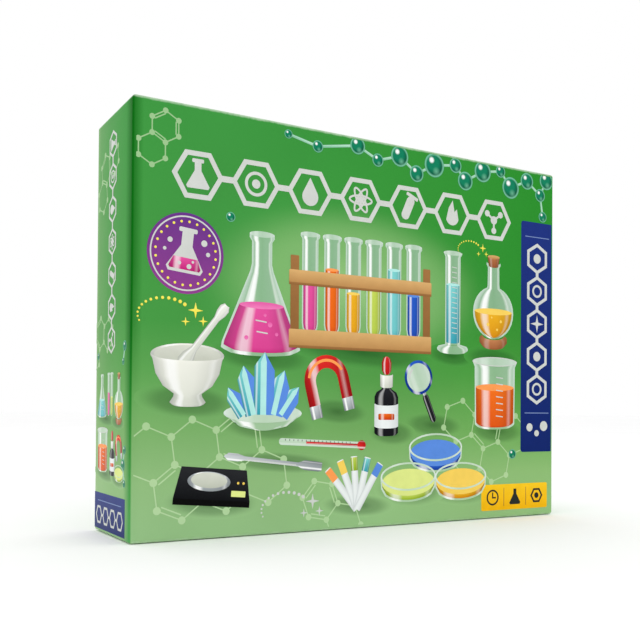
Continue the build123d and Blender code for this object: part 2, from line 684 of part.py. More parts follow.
def cores():
    """Hollows in the back of the foam, behind the shallow pockets, that save foam."""
    made = []
    vial_left = VIAL_PLACES[0].position.X - VIAL_CAP_RADIUS
    vial_right = VIAL_PLACES[-1].position.X + VIAL_CAP_RADIUS
    vial_back = VIAL_PLACES[0].position.Y + VIAL_CAP_RADIUS + TROUGH_SIDE + FOAM_WEB
    step = (vial_right - vial_left + FOAM_CORE_WALL) / 3
    for i in range(3):
        left = vial_left + i * step
        made.append((left, left + step - FOAM_CORE_WALL, UPPER_ROW, UPPER_ROW_TOP, vial_back))
    tube_left = TUBE_PLACES[0].position.X - PLUG_HEAD_RADIUS
    tube_right = TUBE_PLACES[-1].position.X + PLUG_HEAD_RADIUS
    tube_back = TUBE_PLACES[0].position.Y + PLUG_HEAD_RADIUS + TROUGH_SIDE + FOAM_WEB
    half = (LOWER_ROW_TOP - LOWER_ROW - FOAM_CORE_WALL) / 2
    for low in (LOWER_ROW, LOWER_ROW_TOP - half):
        made.append((tube_left, tube_right, low, low + half, tube_back))
    right_left = BRUSH_PLACE.position.X - BRUSH_RADIUS
    right_right = PIPETTE_PLACES[-1].position.X + PIPETTE_BULB
    right_back = BRUSH_PLACE.position.Y + BRUSH_RADIUS + FOAM_WEB
    for low in (LOWER_ROW, LOWER_ROW_TOP - half):
        made.append((right_left, right_right, low, low + half, right_back))
    hollows = []
    for left, right, low, high, front in made:
        hollow = block(left, right, front, FOAM_BACK + 1, low, high)
        hollows.append(chamfer(hollow.edges().filter_by(Axis.Y), FOAM_EDGE))
    return hollows


def foam_insert():
    foam = block(-FOAM_HALF, FOAM_HALF, FOAM_FRONT, FOAM_BACK, FOAM_BOTTOM, FOAM_TOP)
    foam = fillet(foam.edges().filter_by(Axis.Y), FOAM_EDGE)
    for cutter in pockets() + cores():
        foam -= cutter
    return foam


# ---------------------------------------------------------------- assembly
def assembly():
    """Every named piece, in its place."""
    nodes = {"lid": lid(), "base_tray": base_tray(), "foam_insert": foam_insert(), **manual()}
    for i, place in enumerate(VIAL_PLACES, start=1):
        nodes[f"vial_{i}"] = place * vial()
        nodes[f"vial_cap_{i}"] = place * Pos(0, 0, VIAL_LENGTH) * vial_cap()
    for i, place in enumerate(TUBE_PLACES, start=1):
        nodes[f"test_tube_{i}"] = place * test_tube()
    mouth = Pos(0, 0, TUBE_LENGTH)
    nodes["rubber_stopper"] = TUBE_PLACES[1] * mouth * rubber_stopper()
    nodes["tube_plug"] = TUBE_PLACES[3] * mouth * tube_plug()
    nodes["bent_tube"] = BENT_PLACE * bent_tube()
    for i, place in enumerate(BEAKER_PLACES, start=1):
        nodes[f"beaker_{i}"] = place * beaker()
        nodes[f"beaker_lid_{i}"] = place * Pos(0, 0, BEAKER_HEIGHT) * beaker_lid()
    nodes["bottle"] = BOTTLE_PLACE * bottle()
    nodes["dropper_plug"] = BOTTLE_PLACE * dropper_plug()
    nodes["bottle_cap"] = BOTTLE_PLACE * bottle_cap()
    for i, place in enumerate(PIPETTE_PLACES, start=1):
        nodes[f"pipette_{i}"] = place * pipette()
    nodes["funnel"] = FUNNEL_PLACE * funnel()
    for name, piece in brush().items():
        nodes[name] = BRUSH_PLACE * piece
    nodes["measuring_spoon"] = SPOON_PLACE * spoon()
    nodes["lid_opener"] = OPENER_PLACE * lid_opener()
    return nodes


os.makedirs("parts", exist_ok=True)
for name, piece in assembly().items():
    export_step(piece, f"parts/{name}.step")
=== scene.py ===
"""Looks of a chemistry set: a wrapped board box with a printed lid, and the laboratory ware inside it."""

import math

import bpy
from mathutils import Matrix, Vector


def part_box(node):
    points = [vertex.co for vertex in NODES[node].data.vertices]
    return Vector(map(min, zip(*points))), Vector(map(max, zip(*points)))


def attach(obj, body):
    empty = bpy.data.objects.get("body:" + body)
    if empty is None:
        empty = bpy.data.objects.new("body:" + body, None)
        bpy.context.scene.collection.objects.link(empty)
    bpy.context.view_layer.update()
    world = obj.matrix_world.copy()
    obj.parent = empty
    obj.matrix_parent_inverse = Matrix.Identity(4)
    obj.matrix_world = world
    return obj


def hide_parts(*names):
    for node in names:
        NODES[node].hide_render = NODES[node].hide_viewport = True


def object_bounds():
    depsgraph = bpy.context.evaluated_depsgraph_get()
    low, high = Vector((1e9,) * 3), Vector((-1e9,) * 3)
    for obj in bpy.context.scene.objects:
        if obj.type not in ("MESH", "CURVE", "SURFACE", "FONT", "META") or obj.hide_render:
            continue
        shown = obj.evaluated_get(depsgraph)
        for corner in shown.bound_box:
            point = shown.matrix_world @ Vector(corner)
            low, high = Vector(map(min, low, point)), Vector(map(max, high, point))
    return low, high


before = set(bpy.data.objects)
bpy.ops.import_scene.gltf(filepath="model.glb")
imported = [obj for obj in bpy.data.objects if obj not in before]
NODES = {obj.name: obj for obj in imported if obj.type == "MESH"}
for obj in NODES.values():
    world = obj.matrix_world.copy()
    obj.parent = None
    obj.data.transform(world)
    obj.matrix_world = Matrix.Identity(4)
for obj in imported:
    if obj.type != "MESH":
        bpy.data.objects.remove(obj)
case_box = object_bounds()

MM = 0.001
FILM = 0.00003  # depth of one printed layer
WRAP_INSET = 0.00025  # the wrap lies this far inside the case and leaves room for the print
BASE_INSET = 0.0002  # the same for the base
FOLD = 0.0022  # radius of a wrapped board edge
BOARD = 0.002
CASE_HIGH = 0.290
TOUCH = 1e-5  # two places nearer than this are one


# ---------------------------------------------------------------- colours and nodes
def paint(red, green, blue):
    """A colour as it is seen on a screen, from 0 to 255."""

    def linear(value):
        value /= 255
        return value / 12.92 if value <= 0.04045 else ((value + 0.055) / 1.055) ** 2.4

    return (linear(red), linear(green), linear(blue), 1.0)


def printed(red, green, blue):
    """A printed colour as it is seen through the film, whose gloss adds a little light of its own."""
    return tuple(max(value - 0.006, 0.001) for value in paint(red, green, blue)[:3]) + (1.0,)


def feed(tree, made, inputs):
    """Gives a node its inputs: numbers, colours or the sockets that feed them."""
    for key, value in inputs.items():
        if isinstance(value, bpy.types.NodeSocket):
            tree.links.new(value, made.inputs[key])
        else:
            made.inputs[key].default_value = value
    return made


def add(tree, kind, inputs=None, **settings):
    made = tree.nodes.new(kind)
    for key, value in settings.items():
        setattr(made, key, value)
    return feed(tree, made, inputs or {})


def sums(tree, operation, a, b=0.0, c=0.0, clamp=False):
    made = add(tree, "ShaderNodeMath", operation=operation, use_clamp=clamp)
    return feed(tree, made, {0: a, 1: b, 2: c}).outputs[0]


def spread(tree, value, low, high, first=0.0, last=1.0):
    """Turns the range from low to high into the range from first to last, and holds it there."""
    return add(tree, "ShaderNodeMapRange", {0: value, 1: low, 2: high, 3: first, 4: last}).outputs[0]


def mixed(tree, factor, a, b, how="MIX"):
    """Colour a turned into colour b by a factor."""
    made = add(tree, "ShaderNodeMix", data_type="RGBA", blend_type=how)
    return feed(tree, made, {0: factor, 6: a, 7: b}).outputs[2]


def toned(tree, colour, tone):
    """A colour multiplied by a tone."""
    return mixed(tree, 1.0, colour, tone, "MULTIPLY")


def ramp(tree, factor, stops, how="LINEAR"):
    """A colour for each stop between 0 and 1; a plain number stands for a grey."""
    made = add(tree, "ShaderNodeValToRGB", {0: factor})
    made.color_ramp.interpolation = how
    points = made.color_ramp.elements
    while len(points) < len(stops):
        points.new(1.0)
    for point, (place, value) in zip(points, stops):
        point.position = place
        point.color = value if isinstance(value, tuple) else (value, value, value, 1.0)
    return made.outputs[0]


def noise(tree, place, scale, detail=3.0, rough=0.5):
    inputs = {"Vector": place, "Scale": scale, "Detail": detail, "Roughness": rough}
    return add(tree, "ShaderNodeTexNoise", inputs).outputs[0]


def bumped(tree, height, strength, depth):
    """The normals of a surface with fine relief, its depth in metres."""
    inputs = {"Strength": strength, "Distance": depth, "Height": height}
    return add(tree, "ShaderNodeBump", inputs).outputs[0]


def axes(tree, place):
    """The X, Y and Z of a place."""
    return add(tree, "ShaderNodeSeparateXYZ", {0: place}).outputs


def apart(tree, place, x, y):
    """How far a place on a map is from the point x, y."""
    u, v = axes(tree, place)[:2]
    a, b = sums(tree, "SUBTRACT", u, x), sums(tree, "SUBTRACT", v, y)
    squares = sums(tree, "ADD", sums(tree, "MULTIPLY", a, a), sums(tree, "MULTIPLY", b, b))
    return sums(tree, "SQRT", squares)


def group(name, inputs, outputs):
    """An empty effect and its two end nodes. A socket is given by its kind, or by its first number."""
    tree = bpy.data.node_groups.new(name, "ShaderNodeTree")
    for side, sockets in (("INPUT", inputs), ("OUTPUT", outputs)):
        for title, kind in sockets.items():
            plain = isinstance(kind, float)
            kind_name = "NodeSocketFloat" if plain else f"NodeSocket{kind}"
            socket = tree.interface.new_socket(title, in_out=side, socket_type=kind_name)
            if plain:
                socket.default_value = kind
    return tree, tree.nodes.new("NodeGroupInput").outputs, tree.nodes.new("NodeGroupOutput").inputs


def effect(tree, which, inputs):
    """One of the shared effects, placed in a material; returns its outputs."""
    made = tree.nodes.new("ShaderNodeGroup")
    made.node_tree = which
    return feed(tree, made, inputs).outputs


def material(name, build, **plain):
    """A material whose changing parts come from build, and whose plain values go on its own sockets."""
    made = bpy.data.materials.new(name)
    made.use_nodes = True
    shader = made.node_tree.nodes["Principled BSDF"]
    for key, value in plain.items():
        shader.inputs[key.replace("_", " ")].default_value = value
    build(made.node_tree, shader)
    return made


def dress(tree, shader, colour, roughness, normal):
    """Joins the changing colour, roughness and normals of a surface to its shader."""
    tree.links.new(colour, shader.inputs["Base Color"])
    tree.links.new(roughness, shader.inputs["Roughness"])
    tree.links.new(normal, shader.inputs["Normal"])


def own_place(tree):
    """Where a point of the piece is, in metres."""
    return add(tree, "ShaderNodeTexCoord").outputs["Object"]


def own_map(tree):
    """Where a point of a printed shape is across and along that shape, from 0 to 1."""
    return add(tree, "ShaderNodeUVMap").outputs[0]


# ---------------------------------------------------------------- shared effects
def make_wrap_green():
    """The printed green of the case: deep above, pale below, a little deeper to the right."""
    tree, given, result = group("wrap_green", {"Place": "Vector"}, {"Color": "Color"})
    x, _, z = axes(tree, given["Place"])[:3]
    height = sums(tree, "DIVIDE", z, CASE_HIGH, clamp=True)
    left = ramp(tree, height, [
        (0.0, printed(153, 194, 139)), (0.13, printed(147, 189, 129)), (0.25, printed(123, 173, 106)),
        (0.38, printed(94, 159, 84)), (0.5, printed(72, 149, 70)), (0.75, printed(68, 149, 69)),
        (1.0, printed(64, 147, 67)),
    ])
    right = ramp(tree, height, [
        (0.0, printed(146, 188, 128)), (0.13, printed(138, 182, 115)), (0.25, printed(105, 165, 84)),
        (0.4, printed(72, 150, 62)), (0.6, printed(50, 141, 50)), (1.0, printed(46, 139, 47)),
    ])
    both = mixed(tree, spread(tree, x, -0.12, 0.17), left, right)
    cloud = ramp(tree, noise(tree, given["Place"], 9.0, 2.0), [(0.3, 0.94), (0.7, 1.05)])
    tree.links.new(toned(tree, both, cloud), result["Color"])
    return tree


def make_film():
    """The laminated surface of printed paper: a trace of paper grain under a gloss that is not quite even."""
    tree, given, result = group(
        "film", {"Place": "Vector", "Gloss": 0.34}, {"Roughness": "Float", "Normal": "Vector"}
    )
    patches = noise(tree, given["Place"], 55.0, 3.0)
    change = sums(tree, "MULTIPLY_ADD", patches, 0.12, -0.06)
    tree.links.new(sums(tree, "ADD", given["Gloss"], change, clamp=True), result["Roughness"])
    grain = noise(tree, given["Place"], 900.0, 2.0, 0.6)
    swell = noise(tree, given["Place"], 38.0, 1.0)
    height = sums(tree, "MULTIPLY_ADD", swell, 6.0, grain)
    tree.links.new(bumped(tree, height, 0.12, 0.0002), result["Normal"])
    return tree


def make_fold_wear_and_highlight():
    """How worn the wrap is, with a painted highlight along the top folds: 1 along the top and bottom folds
    and at corners, less along upright folds.
    """
    low, high = case_box
    tree, given, result = group("fold_wear_and_highlight", {"Place": "Vector"}, {"Mask": "Float"})
    x, y, z = axes(tree, given["Place"])[:3]
    side = sums(tree, "SUBTRACT", high[0], sums(tree, "ABSOLUTE", x))
    front = sums(tree, "SUBTRACT", y, low[1])
    # The top folds count as nearer than they are, which widens a painted highlight along them.
    above = sums(tree, "SUBTRACT", high[2] - 0.0007, z)
    level = sums(tree, "MINIMUM", sums(tree, "SUBTRACT", z, low[2]), above)
    near = sums(tree, "ADD", level, front)
    for one, other, least in ((side, front, 0.0011), (side, level, 0.0004)):
        both = sums(tree, "ADD", sums(tree, "ADD", one, other), least)
        near = sums(tree, "MINIMUM", near, both)
    rub = sums(tree, "MULTIPLY_ADD", noise(tree, given["Place"], 130.0, 5.0, 0.7), 0.0018, 0.0006)
    edge = sums(tree, "SUBTRACT", rub, near)
    tree.links.new(spread(tree, edge, -0.0008, 0.0009), result["Mask"])
    return tree


def make_bulge():
    """Light and shade across a printed picture of a round thing: dark sides and a bright streak."""
    tree, given, result = group(
        "bulge", {"Map": "Vector", "Color": "Color", "Shade": 0.6, "Shine": 0.5}, {"Color": "Color"}
    )
    across = axes(tree, given["Map"])[0]
    dark = ramp(tree, across, [
        (0.0, 1.0), (0.16, 0.35), (0.34, 0.0), (0.6, 0.12), (0.86, 0.6), (1.0, 1.0),
    ])
    streak = ramp(tree, across, [
        (0.13, 0.0), (0.22, 1.0), (0.3, 0.9), (0.38, 0.0), (0.8, 0.0), (0.87, 0.45), (0.93, 0.0),
    ])
    shaded = toned(tree, given["Color"], (0.28, 0.3, 0.32, 1))
    body = mixed(tree, sums(tree, "MULTIPLY", dark, given["Shade"]), given["Color"], shaded)
    shiny = sums(tree, "MULTIPLY", streak, given["Shine"])
    tree.links.new(mixed(tree, shiny, body, (1, 1, 1, 1)), result["Color"])
    return tree


WRAP_GREEN = make_wrap_green()
FILM_SURFACE = make_film()
FOLD_WEAR_AND_HIGHLIGHT = make_fold_wear_and_highlight()
BULGE = make_bulge()


def wrap_green(tree):
    """The case's green at a point of the piece."""
    return effect(tree, WRAP_GREEN, {"Place": own_place(tree)})["Color"]


def laminate(tree, shader, colour, gloss=0.34):
    """The film over a printed colour."""
    film = effect(tree, FILM_SURFACE, {"Place": own_place(tree), "Gloss": gloss})
    dress(tree, shader, colour, film["Roughness"], film["Normal"])


# ---------------------------------------------------------------- picking and shaping
def done():
    bpy.ops.object.mode_set(mode="OBJECT")


def clear():
    """Leaves edit mode and selects nothing."""
    if bpy.context.object and bpy.context.object.mode != "OBJECT":
        done()
    bpy.ops.object.select_all(action="DESELECT")


def added(name, *finishes):
    """The primitive that was just added, under its own name and in its finishes."""
    piece = bpy.context.object
    piece.name = piece.data.name = name
    for finish in finishes:
        piece.data.materials.append(finish)
    return piece


def only(piece):
    """Selects this piece alone."""
    clear()
    piece.select_set(True)
    bpy.context.view_layer.objects.active = piece


def settle(piece):
    """Puts a piece's place, turn and size into its mesh."""
    only(piece)
    bpy.ops.object.transform_apply(location=True, rotation=True, scale=True)
    return piece


def shifted(piece, place):
    """Moves a piece's mesh by x, y and z."""
    piece.data.transform(Matrix.Translation(place))
    return piece


def turn_by(degrees, axis="Z"):
    return Matrix.Rotation(math.radians(degrees), 4, axis)


def edit(piece, kind, action):
    only(piece)
    bpy.ops.object.mode_set(mode="EDIT")
    bpy.ops.mesh.select_mode(type=kind)
    bpy.ops.mesh.select_all(action=action)


def pick_all(piece, kind="FACE"):
    """Goes into edit mode with everything selected."""
    edit(piece, kind, "SELECT")


def pick_faces(piece, test, kind="FACE"):
    """Goes into edit mode with only those faces selected that pass the test."""
    edit(piece, kind, "DESELECT")
    done()
    for face in piece.data.polygons:
        face.select = bool(test(face))
    bpy.ops.object.mode_set(mode="EDIT")


def pick_edges(piece, test):
    """Goes into edit mode with only those edges selected whose middle passes the test."""
    edit(piece, "EDGE", "DESELECT")
    done()
    mesh = piece.data
    for edge in mesh.edges:
        a, b = (mesh.vertices[i].co for i in edge.vertices)
        edge.select = bool(test((a + b) / 2))
    bpy.ops.object.mode_set(mode="EDIT")


def extrude(x, y, z):
    """Pulls what is selected out by x, y and z."""
    bpy.ops.mesh.extrude_region_move(TRANSFORM_OT_translate={"value": (x, y, z)})


def raise_faces(height):
    """Pulls the selected faces out along their own normals, or pushes them in."""
    bpy.ops.mesh.extrude_region_shrink_fatten(TRANSFORM_OT_shrink_fatten={"value": height})


def with_modifier(piece, kind, **settings):
    """Adds a modifier with its settings and applies it."""
    only(piece)
    modifier = piece.modifiers.new(kind.title(), kind)
    for key, value in settings.items():
        setattr(modifier, key, value)
    bpy.ops.object.modifier_apply(modifier=modifier.name)
    return piece


def copy_of(piece, name, place):
    """A copy with its own mesh, moved by a matrix."""
    made = piece.copy()
    made.data = piece.data.copy()
    made.name = made.data.name = name
    made.data.transform(place)
    bpy.context.scene.collection.objects.link(made)
    return made


def drop(piece):
    """Takes away a piece that was only made to be copied."""
    bpy.data.objects.remove(piece)


def joined(name, pieces):
    """Several pieces made one."""
    clear()
    for piece in pieces:
        piece.select_set(True)
    bpy.context.view_layer.objects.active = pieces[0]
    bpy.ops.object.join()
    pieces[0].name = pieces[0].data.name = name
    return pieces[0]


def smooth(piece, angle=35):
    only(piece)
    bpy.ops.object.shade_smooth_by_angle(angle=math.radians(angle))
    return piece


# ---------------------------------------------------------------- the lid and the base
# Where the green of the wrap changes, with its painted shade and painted sheen, as places in metres.
SIDE_FROM_X = (0.1835, 0.1842)  # the front ends and a side begins
# Painted shade: a dark strip on the left side beside the front fold.
SHADED_STRIP_Y = (-0.0378, -0.026)  # the dark strip beside the left front fold fades out
# Painted sheen: the sides turn paler towards the back, as a glossy reflection would.
PAINTED_SHEEN_Y = (-0.028, 0.04)  # the left side grows paler towards the back
# Painted shade along the front's rounded left edge, stronger above than below.
FOLD_SHADE_X = (-0.1845, -0.1775)  # the front is deeper along its left edge
FOLD_SHADE_Z = (0.085, 0.18)  # and more so above than below
# Painted shade: the green multiplied by a dark tone, which turns paler below.
SHADE_TONE_Z = (0.02, 0.135)  # the dark tone is paler below
SHADE_TONE = (0.02, 0.43, 0.07, 1)
SHADE_TONE_BELOW = (0.28, 0.66, 0.38, 1)
# The pale colour of the painted sheen.
PAINTED_SHEEN = (172, 198, 150)
# Bare paper on worn folds, and the painted highlight along the top folds in the same pale colour.
BARE_PAPER_AND_HIGHLIGHT = (214, 230, 208)


def wrap_finish():
    def build(tree, shader):
        place = own_place(tree)
        x, y, z = axes(tree, place)[:3]
        green = effect(tree, WRAP_GREEN, {"Place": place})["Color"]
        # Painted shade: the green darkened by a tone, for the strip beside the left front fold and the
        # front's rounded left edge.
        tone = mixed(tree, spread(tree, z, *SHADE_TONE_Z, 1.0, 0.0), SHADE_TONE, SHADE_TONE_BELOW)
        deep = toned(tree, green, tone)
        on_side = spread(tree, sums(tree, "ABSOLUTE", x), *SIDE_FROM_X)
        on_right = sums(tree, "GREATER_THAN", x, 0.0)
        past_shaded_strip = sums(tree, "MAXIMUM", spread(tree, y, *SHADED_STRIP_Y), on_right)
        # Painted sheen, growing towards the back of each side.
        sheen_share = ramp(tree, spread(tree, y, *PAINTED_SHEEN_Y), [
            (0.0, 0.0), (0.55, 0.08), (0.9, 0.22), (0.97, 0.42), (1.0, 0.52),
        ])
        side = mixed(tree, past_shaded_strip, deep, mixed(tree, sheen_share, green, printed(*PAINTED_SHEEN)))
        # Painted shade along the front's rounded left edge.
        fold_shade = spread(tree, x, *FOLD_SHADE_X, 0.85, 0.0)
        fold_shade = sums(tree, "MULTIPLY", fold_shade, spread(tree, z, *FOLD_SHADE_Z, 0.12, 1.0))
        colour = mixed(tree, on_side, mixed(tree, fold_shade, green, deep), side)
        # Worn folds show bare paper; the top folds also carry a painted highlight in this colour.
        worn = effect(tree, FOLD_WEAR_AND_HIGHLIGHT, {"Place": place})["Mask"]
        laminate(tree, shader, mixed(tree, sums(tree, "MULTIPLY", worn, 0.8), colour, paint(*BARE_PAPER_AND_HIGHLIGHT)))

    return material("wrapped_board", build, Specular_IOR_Level=0.02)


def liner_finish(name, rim, compare):
    """Grey-white paper inside, with the wrap turned in along the rim, past this depth."""

    def build(tree, shader):
        place = own_place(tree)
        fibre = noise(tree, place, 700.0, 4.0, 0.7)
        paper = ramp(tree, fibre, [(0.35, paint(222, 221, 215)), (0.65, paint(236, 235, 230))])
        green = effect(tree, WRAP_GREEN, {"Place": place})["Color"]
        wave = sums(tree, "MULTIPLY_ADD", noise(tree, place, 30.0), 0.0012, rim)
        turned_in = sums(tree, compare, axes(tree, place)[1], wave)
        roughness = ramp(tree, fibre, [(0.0, 0.75), (1.0, 0.9)])
        dress(tree, shader, mixed(tree, turned_in, paper, green), roughness, bumped(tree, fibre, 0.2, 0.0002))

    return material(name, build)


def board_shell(name, node, inset, open_back, finishes):
    """A box of wrapped board in a node's place: rounded folds outside, paper inside, open on one side."""
    low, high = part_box(node)
    low, high = low + Vector((inset, inset, inset)), high - Vector((inset, 0 if open_back else inset, inset))
    if not open_back:
        low.y -= inset
    clear()
    bpy.ops.mesh.primitive_cube_add(size=1, location=(low + high) / 2)
    box = added(name, *finishes)
    box.scale = high - low
    settle(box)
    open_side, closed = (high.y, low.y) if open_back else (low.y, high.y)
    pick_faces(box, lambda face: abs(face.center.y - open_side) < TOUCH)
    bpy.ops.mesh.delete(type="FACE")
    done()
    pick_edges(box, lambda c: abs(c.y - closed) < TOUCH or low.y + MM < c.y < high.y - MM)
    bpy.ops.mesh.bevel(offset=FOLD, segments=5, affect="EDGES")
    done()
    with_modifier(
        box, "SOLIDIFY", thickness=BOARD - inset, offset=-1.0, use_even_offset=True,
        material_offset=1, material_offset_rim=1,
    )
    return smooth(box)


def make_half(body, node, inset, open_back, liner):
    """The lid or the base of the case."""
    shell = board_shell(f"{body}_board", node, inset, open_back, [WRAP, liner])
    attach(shell, body)
    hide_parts(node)


WRAP = wrap_finish()
make_half("lid", "lid", WRAP_INSET, True, liner_finish("lid_liner", 0.0225, "GREATER_THAN"))


# ---------------------------------------------------------------- inks of the print
INK_SHEEN = 0.05  # how much the gloss lightens a printed ink


def foot_to_top(tree, low, high):
    """A printed colour that changes from a shape's foot to its top, or stays the same."""
    along = axes(tree, own_map(tree))[1]
    return mixed(tree, along, printed(*low), printed(*(high or low)))


def rounded(tree, colour, shade, shine):
    """A colour with the light and shade of a round thing."""
    inputs = {"Map": own_map(tree), "Color": colour, "Shade": shade, "Shine": shine}
    return effect(tree, BULGE, inputs)["Color"]


def ink(name, low, high, shade=0.6, shine=0.5):
    """The picture of a round thing, its colour changing from foot to top."""

    def build(tree, shader):
        laminate(tree, shader, rounded(tree, foot_to_top(tree, low, high), shade, shine))

    return material(name, build, Specular_IOR_Level=INK_SHEEN)


def flat_ink(name, low, high=None):
    """A flat printed colour, with the slight mottle of ink on paper."""

    def build(tree, shader):
        mottle = ramp(tree, noise(tree, own_place(tree), 120.0, 4.0), [(0.3, 0.96), (0.7, 1.03)])
        laminate(tree, shader, toned(tree, foot_to_top(tree, low, high), mottle))

    return material(name, build, Specular_IOR_Level=INK_SHEEN)


def glass_ink(name, tint=(226, 240, 232), body=0.34, rim=0.8, shine=0.9):
    """The picture of clear glass or thin plastic: the case's green seen through a pale wall."""

    def build(tree, shader):
        wall = ramp(tree, axes(tree, own_map(tree))[0], [
            (0.0, rim), (0.06, rim * 0.8), (0.13, body), (0.5, body * 0.8), (0.85, body), (0.95, rim * 0.75),
            (1.0, rim),
        ])
        colour = mixed(tree, wall, wrap_green(tree), printed(*tint))
        laminate(tree, shader, rounded(tree, colour, 0.12, shine))

    return material(name, build, Specular_IOR_Level=INK_SHEEN)


def ball_ink(name, deep, middle, light):
    """The picture of a glossy ball, lit from above on the left, with a pale rim below."""

    def build(tree, shader):
        place = own_map(tree)
        deep_ink, middle_ink, light_ink = (printed(*colour) for colour in (deep, middle, light))
        body = ramp(tree, apart(tree, place, 0.42, 0.6), [
            (0.0, middle_ink), (0.28, middle_ink), (0.5, deep_ink), (0.62, deep_ink),
        ])
        rim = ramp(tree, apart(tree, place, 0.5, 0.5), [(0.38, 0.0), (0.46, 0.75), (0.5, 0.35)])
        spark = ramp(tree, apart(tree, place, 0.36, 0.7), [(0.0, 1.0), (0.07, 0.9), (0.15, 0.0)])
        glow = ramp(tree, apart(tree, place, 0.6, 0.26), [(0.0, 0.5), (0.2, 0.0)])
        lit = mixed(tree, glow, mixed(tree, rim, body, light_ink), light_ink)
        laminate(tree, shader, mixed(tree, spark, lit, (1, 1, 1, 1)))

    return material(name, build, Specular_IOR_Level=INK_SHEEN)


def green_based_ink(name, colour, strength, fade=False):
    """Ink that lets the case's green through, all over, or less and less towards the shape's outline."""

    def build(tree, shader):
        amount = strength
        if fade:
            stops = [(0.0, strength), (0.25, strength * 0.62), (0.49, 0.0)]
            amount = ramp(tree, apart(tree, own_map(tree), 0.5, 0.5), stops, "EASE")
        laminate(tree, shader, mixed(tree, amount, wrap_green(tree), printed(*colour)))

    return material(name, build, Specular_IOR_Level=INK_SHEEN)


def liquid_inks(name, low, high, surface_low, surface_high=None):
    """The inks of a liquid and of its surface."""
    body = ink(f"{name}_liquid_ink", low, high)
    return body, flat_ink(f"{name}_surface_ink", surface_low, surface_high)


WHITE = flat_ink("white_ink", (205, 208, 203))
NAVY = flat_ink("navy_ink", (22, 40, 104), (34, 52, 124))
NAVY_LINE = flat_ink("navy_divider_ink", (120, 140, 186))
PURPLE = flat_ink("badge_ink", (142, 66, 140), (102, 56, 134))
ORANGE = flat_ink("strip_ink", (240, 180, 22), (247, 200, 40))
DARK = flat_ink("dark_ink", (44, 48, 46))
NEAR_BLACK = flat_ink("near_black_ink", (13, 14, 15))
YELLOW = flat_ink("yellow_ink", (240, 222, 70), (248, 236, 110))
LINE_ART = green_based_ink("line_art_ink", (202, 228, 182), 0.5)
SHADOW = green_based_ink("picture_shadow_ink", (18, 62, 26), 0.62, fade=True)
GLOW = green_based_ink("picture_glow_ink", (190, 226, 160), 0.5, fade=True)
GLASS = glass_ink("picture_glass")
MOUTH = glass_ink("picture_glass_mouth", (236, 246, 240), 0.6, 0.9, 0.2)
TEAL_BALL = ball_ink("teal_ball_ink", (8, 84, 62), (24, 126, 92), (136, 212, 176))
BOND = ink("bond_ink", (130, 196, 160), (176, 224, 196), 0.5, 0.3)
MAGENTA, MAGENTA_TOP = liquid_inks("magenta", (196, 38, 120), (228, 84, 158), (238, 128, 186), (226, 92, 164))
AMBER, AMBER_TOP = liquid_inks("amber", (206, 128, 14), (236, 176, 40), (246, 208, 96))
RED_LIQUID, RED_TOP = liquid_inks("red_orange", (206, 56, 20), (240, 112, 34), (250, 156, 86))
AQUA, AQUA_TOP = liquid_inks("aqua", (58, 160, 178), (126, 208, 206), (176, 230, 224))
LIME, LIME_TOP = liquid_inks("lime", (146, 178, 40), (196, 214, 92), (222, 232, 140))
BLUE = ink("blue_picture_ink", (22, 54, 146), (44, 92, 196), 0.7, 0.6)
BLUE_TOP = flat_ink("blue_surface_ink", (92, 140, 222))
RED = ink("red_picture_ink", (188, 26, 32), (222, 48, 44), 0.7, 0.55)
SLATE = flat_ink("slate_ink", (24, 25, 27), (44, 45, 48))
BLACK = ink("black_picture_ink", (22, 22, 26), (44, 44, 50), 0.3, 0.35)
LABEL = ink("paper_label_ink", (236, 240, 240), None, 0.35, 0.0)
CERAMIC = ink("ceramic_picture_ink", (206, 210, 198), (240, 240, 230), 0.5, 0.6)
CERAMIC_IN = flat_ink("ceramic_inside_ink", (188, 192, 178), (214, 216, 204))
STEEL = ink("steel_picture_ink", (150, 156, 160), (206, 210, 214), 0.7, 0.9)
CORK = ink("cork_picture_ink", (150, 84, 50), (196, 130, 84), 0.6, 0.15)
WOOD = flat_ink("wood_picture_ink", (186, 138, 84), (216, 172, 112))
WOOD_DARK = flat_ink("wood_shade_ink", (140, 98, 56), (160, 114, 68))


# ---------------------------------------------------------------- printed shapes, in millimetres on a sheet
# Shadows lie lowest, then the line art, and the pictures from layer 2 up.
SHADOW_LAYER = 0.3
LINE_LAYER = 1.28
DOT_RISE = 0.02  # the dots of the line art lie this far above its lines
PART_SPREAD = 0.45  # the parts of one picture are spread over this share of a layer
PICTURE_STEP = 0.06  # each picture lies this share of a layer above the one before it
INK_SHARE = 0.8  # the share of a layer that its ink fills
MARGIN = 0.0026  # the print ends this far from the case's edges, short of the rounded folds
BACK_MARGIN = 0.0002  # and this far from the lid's open end


def lifted(piece, layer):
    """Puts a flat shape on its layer of the print."""
    piece.location.z += layer * FILM / MM
    return settle(piece)


def disc(finish, x, y, radius, layer, squash=1.0, sides=32, turn=0.0):
    clear()
    bpy.ops.mesh.primitive_circle_add(
        vertices=sides, radius=radius, fill_type="NGON", location=(x, y, 0),
        rotation=(0, 0, math.radians(turn)),
    )
    piece = added("disc", finish)
    piece.scale.y = squash
    return lifted(piece, layer)


def discs(finish, layer, sides, places):
    """Several discs, each given by where it is and its radius."""
    return [disc(finish, x, y, radius, layer, sides=sides) for x, y, radius in places]


def ring(finish, x, y, radius, stroke, layer, sides=32, turn=0.0, squash=1.0):
    """The outline of a round or many-sided shape."""
    piece = disc(finish, x, y, radius, layer, squash, sides, turn)
    pick_all(piece)
    bpy.ops.mesh.inset(thickness=stroke)
    bpy.ops.mesh.delete(type="FACE")
    done()
    return piece


